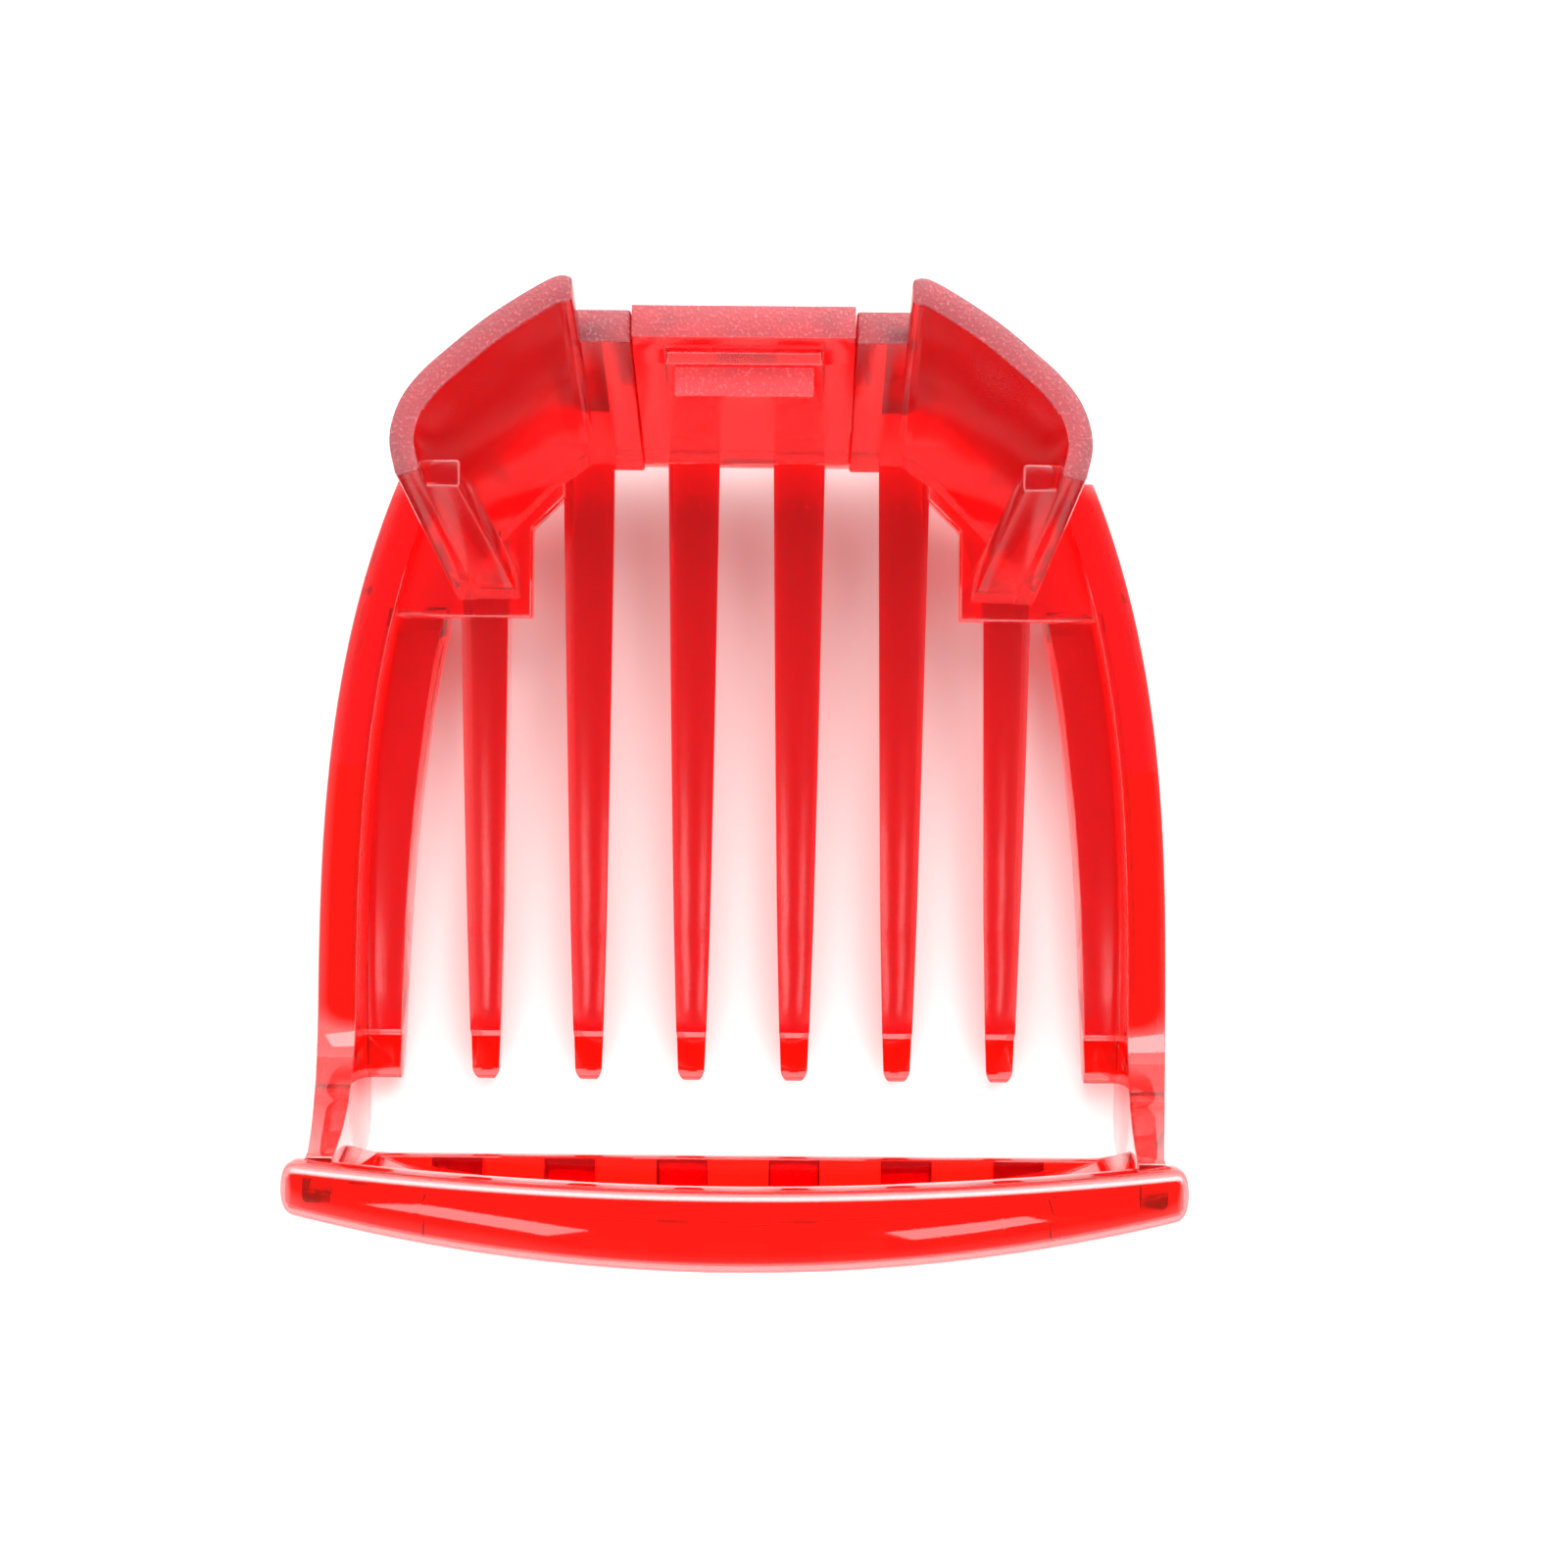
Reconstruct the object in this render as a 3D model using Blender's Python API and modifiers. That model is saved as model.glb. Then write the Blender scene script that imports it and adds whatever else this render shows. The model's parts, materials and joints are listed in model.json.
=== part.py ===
"""Clip-on guide comb for a hair clipper, lying on its teeth.

The real comb is one moulding. It is built here as its working regions, one object each: teeth,
side walls, a flared cradle of wings and rear wall, a sprung latch tongue, and a front hoop with
a finger lip on two arms.

+X is to the right, +Y towards the latch at the rear, +Z up, out of the side that the clipper's
blade enters. The origin is under the middle of the comb's box. Sizes are in metres: MM turns
millimetres into metres.
"""

from math import cos, radians, sin

import bmesh
import bpy
from mathutils import Vector

MM = 0.001

# Overall sizes
WIDTH = 44.0 * MM
LENGTH = 45.6 * MM
HEIGHT = 20.0 * MM

# Clearance left between regions that the moulding joins
GAP = 0.3 * MM

# Teeth
FREE_TEETH = 6
SIDE_TOOTH_INSET = 2.75 * MM  # centre line of a side tooth, in from the side of the comb
TIP_SETBACK = 6.4 * MM  # tooth tips, back from the front of the lip
ROOT_SETBACK = 6.5 * MM  # slot ends, forward from the rear of the wings
ROOT_WIDTH = 2.7 * MM
TIP_WIDTH = 1.4 * MM
UNDERSIDE_WIDTH = 0.8  # share of a tooth's width that is left on its skin side
TAPER_POWER = 0.65  # below 1, a tooth gains its width sooner behind the tip
TIP_HEIGHT = 1.5 * MM
TIP_LIFT = 0.35 * MM
TIP_STEP = 0.3 * MM  # small step up behind each tip
TIP_STEP_SETBACK = 2.4 * MM
LEVEL_LENGTH = 8.4 * MM  # nearly level stretch of a tooth behind its tip
LEVEL_HEIGHT = 2.5 * MM
HEEL_RADIUS_Y = 8.3 * MM  # ellipse that carries the skin side up at the rear
HEEL_RADIUS_Z = 7.0 * MM
HEEL_RUN = 4.8 * MM  # the heel starts this far forward of the rear wall's foot
FLOOR_HEEL_RUN = 1.5 * MM  # and this far behind the floor's front edge on the outer teeth
SIDE_TOOTH_WIDTH = 1.5 * MM
SIDE_TOOTH_TIP_SHARE = 0.75  # share of a side tooth's width at its tip

# Floor at the roots
FLOOR_TOP = 4.65 * MM
FLOOR_THICKNESS = 1.6 * MM
FLOOR_FRONT_SETBACK = 14.6 * MM
CORNER_DEPTH = 3.4 * MM  # how far the sloped inner corner of each floor comes forward
CROSSBAR_DEPTH = 1.7 * MM
CORNER_OVERHANG = 0.2 * MM  # each floor reaches this far inside the outer free tooth's centre
CORNER_CUT_X = 1.6 * MM  # cut across each floor's rear outer corner
CORNER_CUT_Y = 1.2 * MM

# Side walls
SIDE_WALL = 2.0 * MM
SIDE_WALL_BOTTOM = 1.6 * MM
SIDE_WALL_TOP = 5.6 * MM
SHOULDER_DRAW = 4.0 * MM  # how far each side draws in at the rear
SHOULDER_LENGTH = 29.3 * MM
SHOULDER_REAR_SETBACK = 7.5 * MM
SIDE_TOP_ROUND = 0.3 * MM  # facets along a side wall's outer edges
SIDE_TOP_FACET = 1.2 * MM
SIDE_FOOT_ROUND = 0.2 * MM

# Rear wall and latch tongue
FOLD_INSET = 0.5 * MM  # fold between rear wall and wing, in from the second tooth's centre
REAR_WALL = 1.5 * MM
REAR_LEAN = 4.4 * MM
REAR_RIM_DROP = 4.0 * MM  # rear rim below the wings' rim
FLANK_STEP = 0.35 * MM  # flanks below the tongue's rim
TONGUE_WIDTH = 10.0 * MM
SLIT = 0.35 * MM
RIB_TOP_DROP = 2.0 * MM  # top of the outer ribs below the rear rim
RIB_FOOT_RISE = 1.2 * MM  # latch ribs start this far above the floor, so that the tongue can flex
HUMP_DROP = 0.9 * MM  # the teeth under the latch stop this far below the floor's top
CATCH_WIDTH = 6.8 * MM
CATCH_DEPTH = 1.4 * MM
CATCH_HEIGHT = 1.3 * MM
CATCH_DROP = 2.5 * MM  # catch's top below the rear rim
POCKET_DEPTH = 0.5 * MM
POCKET_HEIGHT = 1.1 * MM

# Wings
WING_WALL = 1.15 * MM
WING_INSET = 5.95 * MM  # widest point of a wing, in from the side of the comb
STRUT_DEPTH = 1.3 * MM
STRUT_FOOT_WIDTH = 2.2 * MM
STRUT_HEAD_WIDTH = 1.5 * MM
STRUT_TOP_DROP = 1.8 * MM

# Front arms, hoop and lip
ARM_START_SETBACK = 9.0 * MM  # arms start this far back from the front of the lip
ARM_FOOT = 1.0 * MM
ARM_LEAN = 2.1 * MM
ARM_HEAD_WALL = 1.3 * MM
LIP_THICKNESS = 2.0 * MM
LIP_DEPTH = 3.8 * MM
LIP_END_DEPTH = 2.4 * MM
LIP_BOW = 2.6 * MM
LIP_INNER_BOW = 1.2 * MM
LIP_INSET = 1.3 * MM
LIP_END_RADIUS = 0.7 * MM
HOOP_WALL = 1.0 * MM
HOOP_HEIGHT = 6.8 * MM
HOOP_TUCK = 1.6 * MM  # hoop's wall behind the lip's inner edge, in the middle
HOOP_END_TUCK = 0.3 * MM  # and at the arms
LEDGE_THICKNESS = 1.2 * MM
LEDGE_SETBACK = 4.05 * MM  # ledge's straight edge, back from the front of the lip
HOOP_RIB_WIDTH = 2.5 * MM
HOOP_RIB_DROP = 2.0 * MM  # lowest point of the ribs below the ledge
HOOP_RIB_TOE = 0.4 * MM  # depth of the ribs at the ledge's straight edge
HOOP_RIB_INSET = 0.3 * MM
PIP_RADIUS = 0.6 * MM
PIP_PLACE = 17.3 * MM

EDGE_RADIUS = 0.15 * MM
ROUND_STEPS = 8

# Places that follow from the sizes above
FRONT = -LENGTH / 2
REAR = LENGTH / 2
SIDE = WIDTH / 2
PITCH = (WIDTH - 2 * SIDE_TOOTH_INSET) / (FREE_TEETH + 1)
TIP_Y = FRONT + TIP_SETBACK
ROOT_Y = REAR - ROOT_SETBACK
FLOOR_FRONT = REAR - FLOOR_FRONT_SETBACK
FLOOR_BOTTOM = FLOOR_TOP - FLOOR_THICKNESS
WALL_FOOT = FLOOR_TOP + GAP
REAR_RIM = HEIGHT - REAR_RIM_DROP
FOLD_X = 1.5 * PITCH - FOLD_INSET
LIP_BOTTOM = HEIGHT - LIP_THICKNESS
HOOP_TOP = LIP_BOTTOM - GAP
HOOP_BOTTOM = HOOP_TOP - HOOP_HEIGHT
LIP_INNER_Y = FRONT + LIP_DEPTH
LEDGE_Y = FRONT + LEDGE_SETBACK
ARM_START = FRONT + ARM_START_SETBACK
SHOULDER_REAR = REAR - SHOULDER_REAR_SETBACK

RED = (0.80, 0.010, 0.012)
DEEP_RED = (0.55, 0.008, 0.014)
ROUGH_RED = (0.62, 0.050, 0.085)


def clear_scene():
    """Removes the objects that the file opened with."""
    for obj in list(bpy.data.objects):
        bpy.data.objects.remove(obj, do_unlink=True)


def new_collection(name):
    """A new collection, linked to the scene."""
    collection = bpy.data.collections.new(name)
    bpy.context.scene.collection.children.link(collection)
    return collection


def finish(name, colour, roughness):
    """A Principled material of one colour and roughness."""
    material = bpy.data.materials.new(name)
    material.use_nodes = True
    shader = material.node_tree.nodes["Principled BSDF"]
    shader.inputs["Base Color"].default_value = (*colour, 1.0)
    shader.inputs["Roughness"].default_value = roughness
    shader.inputs["Metallic"].default_value = 0.0
    return material


def add_part(name, mesh, colour, roughness=0.12, radius=EDGE_RADIUS):
    """Puts a mesh in the comb's collection, with its finish and rounded edges."""
    obj = bpy.data.objects.new(name, mesh)
    PARTS.objects.link(obj)
    mesh.materials.clear()
    mesh.materials.append(finish(name, colour, roughness))
    if radius:
        rounding = obj.modifiers.new("rounded edges", "BEVEL")
        rounding.width = radius
        rounding.segments = 1
        rounding.limit_method = "ANGLE"
        rounding.angle_limit = radians(40)
    return obj


def arc(centre, radii, start, end, steps=ROUND_STEPS):
    """Points on an elliptical arc from one angle to another, in degrees."""
    angles = [radians(start + (end - start) * i / steps) for i in range(steps + 1)]
    return [(centre[0] + radii[0] * cos(a), centre[1] + radii[1] * sin(a)) for a in angles]


def slab_mesh(name, outline, thickness):
    """A flat outline as a solid of one thickness, centred on its own XY plane."""
    curve = bpy.data.curves.new(name, "CURVE")
    curve.dimensions = "2D"
    curve.fill_mode = "BOTH"
    curve.extrude = thickness / 2
    spline = curve.splines.new("POLY")
    spline.points.add(len(outline) - 1)
    for point, (x, y) in zip(spline.points, outline):
        point.co = (x, y, 0.0, 1.0)
    spline.use_cyclic_u = True
    guide = bpy.data.objects.new(name + " outline", curve)
    bpy.context.scene.collection.objects.link(guide)
    bpy.context.view_layer.update()
    solid = bpy.data.meshes.new_from_object(guide.evaluated_get(bpy.context.evaluated_depsgraph_get()))
    bpy.data.objects.remove(guide, do_unlink=True)
    bpy.data.curves.remove(curve)
    shape = bmesh.new()
    shape.from_mesh(solid)
    bmesh.ops.remove_doubles(shape, verts=shape.verts, dist=0.001 * MM)
    bmesh.ops.recalc_face_normals(shape, faces=shape.faces)
    shape.to_mesh(solid)
    shape.free()
    return solid


def loft_mesh(name, rings):
    """A closed solid through rings of corner points, with flat ends."""
    shape = bmesh.new()
    loops = [[shape.verts.new(point) for point in ring] for ring in rings]
    for first, second in zip(loops, loops[1:]):
        for i in range(len(first)):
            j = (i + 1) % len(first)
            shape.faces.new((first[i], first[j], second[j], second[i]))
    shape.faces.new(loops[0])
    shape.faces.new(loops[-1])
    bmesh.ops.recalc_face_normals(shape, faces=shape.faces)
    mesh = bpy.data.meshes.new(name)
    shape.to_mesh(mesh)
    shape.free()
    return mesh


def box_mesh(name, low, high):
    """A box between two corners."""
    shape = bmesh.new()
    bmesh.ops.create_cube(shape, size=1.0)
    for vert in shape.verts:
        for axis in range(3):
            vert.co[axis] = low[axis] if vert.co[axis] < 0 else high[axis]
    mesh = bpy.data.meshes.new(name)
    shape.to_mesh(mesh)
    shape.free()
    return mesh


def between(start, end, share):
    """The value that lies a share of the way from one value to another, held to the ends."""
    return start + (end - start) * min(max(share, 0.0), 1.0)


def side_x(y):
    """Outer face of a side wall at a place along the comb."""
    share = (y - SHOULDER_REAR + SHOULDER_LENGTH) / SHOULDER_LENGTH
    return SIDE - SHOULDER_DRAW * max(share, 0.0) ** 3


def rear_inner_y(z):
    """Inner face of the rear wall at a height."""
    return ROOT_Y + REAR_LEAN * (z - FLOOR_TOP) / (REAR_RIM - FLOOR_TOP)


def rear_outer_y(z):
    """Outer face of the rear wall at a height."""
    return rear_inner_y(z) + REAR_WALL


def lip_outer_y(x):
    """Outer edge of the lip across the comb."""
    return FRONT + LIP_BOW * (x / (SIDE - LIP_INSET)) ** 2


def lip_inner_y(x):
    """Inner edge of the lip, which is also the hoop's inner face at its top."""
    return LIP_INNER_Y + LIP_INNER_BOW * (x / (SIDE - LIP_INSET)) ** 2


# ---- Teeth ----------------------------------------------------------------------------------


def tooth_width(y, z):
    """Width of a free tooth: it narrows to its tip and to its skin side."""
    share = max((y - TIP_Y) / (ROOT_Y - TIP_Y), 0.0)
    width = between(TIP_WIDTH, ROOT_WIDTH, share**TAPER_POWER)
    return width * between(UNDERSIDE_WIDTH, 1.0, z / tooth_top(y))


def tooth_front():
    """Outline of a tooth's tip and level stretch, from the table up and back, as (y, z)."""
    half = TIP_HEIGHT / 2
    nose = arc((TIP_Y + half, TIP_LIFT + half), (half, half), 270, 90)
    step_y = TIP_Y + TIP_STEP_SETBACK
    step_z = TIP_LIFT + TIP_HEIGHT
    return [
        (TIP_Y + LEVEL_LENGTH, 0.0),
        (TIP_Y + TIP_STEP_SETBACK, 0.3 * TIP_LIFT),
        *nose,
        (step_y, step_z),
        (step_y + TIP_STEP, step_z + TIP_STEP),
        (TIP_Y + LEVEL_LENGTH, LEVEL_HEIGHT),
    ]


def tooth_top(y):
    """Height of a tooth's upper edge behind its level stretch."""
    start = TIP_Y + LEVEL_LENGTH
    return between(LEVEL_HEIGHT, FLOOR_TOP, (y - start) / (ROOT_Y - start))


def heel(start_y, top_z):
    """Skin side of a tooth at the rear: an elliptical sweep from the table up to a height."""
    steep = 90.0
    if top_z < HEEL_RADIUS_Z:
        steep = next(a for a in range(91) if HEEL_RADIUS_Z * (1 - cos(radians(a))) >= top_z)
    centre = (start_y, HEEL_RADIUS_Z)
    return arc(centre, (HEEL_RADIUS_Y, HEEL_RADIUS_Z), -90 + steep, -90)


def flank_tooth_outline():
    """A tooth that carries on as a rib up the rear wall."""
    rib_top = REAR_RIM - RIB_TOP_DROP
    heel_start = rear_outer_y(FLOOR_TOP) - HEEL_RUN
    return [
        *tooth_front(),
        (ROOT_Y - GAP, tooth_top(ROOT_Y - GAP)),
        (ROOT_Y - GAP, FLOOR_BOTTOM - GAP),
        (ROOT_Y + CROSSBAR_DEPTH + GAP, FLOOR_BOTTOM - GAP),
        (rear_outer_y(WALL_FOOT) + GAP, WALL_FOOT),
        (rear_outer_y(rib_top) + GAP, rib_top),
        (rear_outer_y(rib_top) + 3 * GAP, rib_top),
        *heel(heel_start, HEEL_RADIUS_Z),
    ]


def latch_tooth_outline():
    """A tooth under the latch: it stops behind the crossbar, clear of the tongue's ribs."""
    hump = FLOOR_TOP - HUMP_DROP
    heel_start = rear_outer_y(FLOOR_TOP) - HEEL_RUN
    return [
        *tooth_front(),
        (ROOT_Y - GAP, tooth_top(ROOT_Y - GAP)),
        (ROOT_Y - GAP, FLOOR_BOTTOM - GAP),
        (ROOT_Y + CROSSBAR_DEPTH + GAP, FLOOR_BOTTOM - GAP),
        (ROOT_Y + CROSSBAR_DEPTH + GAP, hump),
        *heel(heel_start, hump),
    ]


def floor_tooth_outline():
    """A tooth that starts at a corner floor and carries on under it."""
    under = FLOOR_BOTTOM - GAP
    return [
        *tooth_front(),
        (FLOOR_FRONT - GAP, tooth_top(FLOOR_FRONT - GAP)),
        (FLOOR_FRONT - GAP, under),
        *heel(FLOOR_FRONT + FLOOR_HEEL_RUN, under),
    ]


def side_tooth_outline():
    """A tooth that runs along the foot of a side wall, up to the corner floor."""
    end = FLOOR_FRONT - GAP
    return [*tooth_front(), (end, LEVEL_HEIGHT), (end, 0.4 * MM), (end - 1.0 * MM, 0.0)]


def stand_up(mesh, place):
    """Turns a slab drawn as (y, z) upright, and puts each side where place(y, z, side) says."""
    for vert in mesh.vertices:
        y, z, side = vert.co
        vert.co = Vector((place(y, z, 1 if side > 0 else -1), y, z))


def add_teeth():
    """The six free teeth and the two side teeth."""
    outlines = (latch_tooth_outline(), flank_tooth_outline(), floor_tooth_outline())
    for index in range(FREE_TEETH):
        offset = index - (FREE_TEETH - 1) / 2
        outline = outlines[min(int(abs(offset)), len(outlines) - 1)]
        mesh = slab_mesh("tooth", outline, MM)
        stand_up(mesh, lambda y, z, side: side * tooth_width(y, z) / 2)
        tooth = add_part(f"tooth_{index + 2}", mesh, RED)
        tooth.location.x = offset * PITCH
    for sign, number in ((-1, 1), (1, FREE_TEETH + 2)):
        mesh = slab_mesh("tooth", side_tooth_outline(), MM)

        def place(y, z, side, sign=sign):
            outer = side_x(max(y, TIP_Y)) - SIDE_WALL - GAP
            return sign * (outer if side * sign > 0 else outer - side_tooth_width(y))

        stand_up(mesh, place)
        add_part(f"tooth_{number}", mesh, RED)


def side_tooth_width(y):
    """A side tooth narrows a little to its tip."""
    share = (y - TIP_Y) / LEVEL_LENGTH
    return SIDE_TOOTH_WIDTH * between(SIDE_TOOTH_TIP_SHARE, 1.0, share)


# ---- Floor and side walls -------------------------------------------------------------------


def add_floor():
    """The crossbar at the slot ends and a floor plate in each rear corner."""
    inner = 1.5 * PITCH + ROOT_WIDTH / 2 + GAP
    bar = box_mesh(
        "crossbar",
        (-inner + GAP, ROOT_Y, FLOOR_BOTTOM),
        (inner - GAP, ROOT_Y + CROSSBAR_DEPTH, FLOOR_TOP),
    )
    add_part("crossbar", bar, DEEP_RED)
    edge = 2 * PITCH + CORNER_OVERHANG
    steps = 6
    seam = SIDE_WALL + GAP
    shoulder = [between(FLOOR_FRONT, SHOULDER_REAR, i / steps) for i in range(steps + 1)]
    for name, sign in (("left", -1), ("right", 1)):
        outline = [
            (inner, ROOT_Y + CROSSBAR_DEPTH),
            (inner, ROOT_Y - CORNER_DEPTH / 2),
            (edge, ROOT_Y - CORNER_DEPTH),
            (edge, FLOOR_FRONT),
            *((side_x(y) - seam, y) for y in shoulder),
            (side_x(SHOULDER_REAR) - seam - CORNER_CUT_X, SHOULDER_REAR + CORNER_CUT_Y),
        ]
        mesh = slab_mesh("floor", [(sign * x, y) for x, y in outline], FLOOR_THICKNESS)
        plate = add_part(f"corner_floor_{name}", mesh, DEEP_RED)
        plate.location.z = (FLOOR_TOP + FLOOR_BOTTOM) / 2


def add_side_walls():
    """The two curved side walls, from the rear shoulder to the arms."""
    steps = 12
    for name, sign in (("left", -1), ("right", 1)):
        rings = []
        for i in range(steps + 1):
            y = between(SHOULDER_REAR, ARM_START + GAP, i / steps)
            outer = side_x(y)
            inner = outer - SIDE_WALL
            corners = (
                (inner, SIDE_WALL_BOTTOM),
                (inner, SIDE_WALL_TOP),
                (outer - SIDE_TOP_ROUND, SIDE_WALL_TOP),
                (outer, SIDE_WALL_TOP - SIDE_TOP_FACET),
                (outer - SIDE_FOOT_ROUND, SIDE_WALL_BOTTOM),
            )
            rings.append([(sign * x, y, z) for x, z in corners])
        add_part(f"side_wall_{name}", loft_mesh("side wall", rings), RED)


# ---- Rear wall and latch --------------------------------------------------------------------


def rear_slab(name, x_low, x_high, z_top):
    """A stretch of the leaning rear wall."""
    rings = [
        [
            (x, rear_inner_y(WALL_FOOT), WALL_FOOT),
            (x, rear_inner_y(z_top), z_top),
            (x, rear_outer_y(z_top), z_top),
            (x, rear_outer_y(WALL_FOOT), WALL_FOOT),
        ]
        for x in (x_low, x_high)
    ]
    return loft_mesh(name, rings)


def add_flanks():
    """The fixed rear wall on each side of the tongue, up to the wings' folds."""
    inner = TONGUE_WIDTH / 2 + SLIT
    outer = FOLD_X - GAP
    for name, sign in (("left", -1), ("right", 1)):
        mesh = rear_slab("flank", sign * inner, sign * outer, REAR_RIM - FLANK_STEP)
        add_part(f"rear_flank_{name}", mesh, RED, 0.3)


def add_latch():
    """The sprung tongue with its pocket, its catch and the two ribs on its back."""
    half = TONGUE_WIDTH / 2
    tongue = add_part("latch_tongue", rear_slab("tongue", -half, half, REAR_RIM), RED, 0.3)
    catch_top = REAR_RIM - CATCH_DROP
    catch_foot = catch_top - CATCH_HEIGHT
    pocket_low = catch_top + GAP
    reach = rear_inner_y(pocket_low) + POCKET_DEPTH
    cutter = bpy.data.objects.new(
        "pocket",
        box_mesh(
            "pocket",
            (-CATCH_WIDTH / 2 - GAP, reach - 4 * MM, pocket_low),
            (CATCH_WIDTH / 2 + GAP, reach, pocket_low + POCKET_HEIGHT),
        ),
    )
    CUTTERS.objects.link(cutter)
    cutter.display_type = "WIRE"
    cutter.hide_render = True
    cut = tongue.modifiers.new("pocket", "BOOLEAN")
    cut.operation = "DIFFERENCE"
    cut.object = cutter
    tongue.modifiers.move(len(tongue.modifiers) - 1, 0)

    rings = []
    for x in (-CATCH_WIDTH / 2, CATCH_WIDTH / 2):
        rings.append(
            [
                (x, rear_inner_y(catch_foot) - GAP, catch_foot),
                (x, rear_inner_y(catch_top) - GAP, catch_top),
                (x, rear_inner_y(catch_top) - CATCH_DEPTH, catch_top),
                (x, rear_inner_y(catch_top) - CATCH_DEPTH, catch_top - 0.5 * MM),
            ]
        )
    add_part("latch_catch", loft_mesh("catch", rings), ROUGH_RED, 0.45)

    foot = FLOOR_TOP + RIB_FOOT_RISE
    top = REAR_RIM - RIB_TOP_DROP
    outline = [
        (rear_outer_y(foot) + GAP, foot),
        (rear_outer_y(top) + GAP, top),
        (rear_outer_y(top) + 3 * GAP, top),
        (rear_outer_y(HEEL_RADIUS_Z) + 2.2 * MM, HEEL_RADIUS_Z),
        (rear_outer_y(foot) + 1.9 * MM, foot),
    ]
    for name, sign in (("left", -1), ("right", 1)):
        mesh = slab_mesh("latch rib", outline, MM)
        stand_up(mesh, lambda y, z, side: side * ROOT_WIDTH * 0.45)
        rib = add_part(f"latch_rib_{name}", mesh, RED)
        rib.location.x = sign * PITCH / 2


# ---- Wings ----------------------------------------------------------------------------------


def wing_paths():
    """A right wing's inner foot and outer rim in plan, as matching lists of (x, y)."""
    middle = 2 * PITCH
    foot_steps = (
        (FOLD_X, 0.0),
        (FOLD_X + 0.9 * MM, 0.7),
        (middle - 1.2 * MM, 1.5),
        (middle + 0.2 * MM, 2.9),
        (middle + 1.4 * MM, 4.1),
        (middle + 2.4 * MM, 5.2),
        (middle + 2.9 * MM, 6.2),
        (middle + 2.9 * MM, 7.4),
    )
    widest = SIDE - WING_INSET
    rim_steps = (
        (FOLD_X, 0.0),
        (FOLD_X + 1.0 * MM, 0.1),
        (widest - 4.6 * MM, 1.8),
        (widest - 2.6 * MM, 3.4),
        (widest - 1.3 * MM, 4.6),
        (widest - 0.4 * MM, 5.9),
        (widest, 7.5),
        (widest - 0.3 * MM, 9.2),
    )
    foot = [(x, ROOT_Y - forward * MM) for x, forward in foot_steps]
    rim = [(x, REAR - forward * MM) for x, forward in rim_steps]
    return foot, rim


def offset_path(path, distance):
    """A plan path moved sideways to the left of its own direction."""
    moved = []
    for i, (x, y) in enumerate(path):
        before = Vector(path[max(i - 1, 0)])
        after = Vector(path[min(i + 1, len(path) - 1)])
        along = (after - before).normalized()
        moved.append((x - along.y * distance, y + along.x * distance))
    return moved


def add_wings():
    """The two flared wings and the strut that stiffens each one's front end."""
    foot, rim = wing_paths()
    foot_outer = offset_path(foot, WING_WALL)
    rim_inner = offset_path(rim, -WING_WALL)
    foot_outer[0] = (FOLD_X, foot_outer[0][1])
    rim_inner[0] = (FOLD_X, rim_inner[0][1])
    for name, sign in (("left", -1), ("right", 1)):
        rings = []
        for a, b, c, d in zip(foot, rim_inner, rim, foot_outer):
            ring = [(*a, WALL_FOOT), (*b, HEIGHT), (*c, HEIGHT), (*d, WALL_FOOT)]
            rings.append([(sign * x, y, z) for x, y, z in ring])
        add_part(f"wing_{name}", loft_mesh("wing", rings), RED, 0.2)
        add_strut(name, sign, foot[-1], rim_inner[-1])


def add_strut(name, sign, wall_foot, wall_rim):
    """A flange inside a wing's front end, against the wing's inner face."""
    top = HEIGHT - STRUT_TOP_DROP
    share = (top - WALL_FOOT) / (HEIGHT - WALL_FOOT)
    head_x = between(wall_foot[0], wall_rim[0], share) - GAP
    head_y = between(wall_foot[1], wall_rim[1], share)
    foot_x = wall_foot[0] - GAP
    foot_y = wall_foot[1]
    corners = []
    for x, y, z, width in (
        (foot_x, foot_y, WALL_FOOT, STRUT_FOOT_WIDTH),
        (head_x, head_y, top, STRUT_HEAD_WIDTH),
    ):
        ring = ((x - width, y), (x, y), (x, y + STRUT_DEPTH), (x - width, y + STRUT_DEPTH))
        corners.append([(sign * px, py, z) for px, py in ring])
    add_part(f"wing_strut_{name}", loft_mesh("strut", corners), RED)


# ---- Front arms, hoop and lip ---------------------------------------------------------------


def arm_outer_x(z):
    """Outer face of an arm at a height: upright at the side wall, then leaning in."""
    return SIDE - ARM_LEAN * between(0, 1, (z - SIDE_WALL_TOP) / (HOOP_TOP - SIDE_WALL_TOP))


def arm_wall(z):
    """Thickness of an arm at a height."""
    share = (z - SIDE_WALL_TOP) / (HOOP_TOP - SIDE_WALL_TOP)
    return between(SIDE_WALL, ARM_HEAD_WALL, share)


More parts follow.
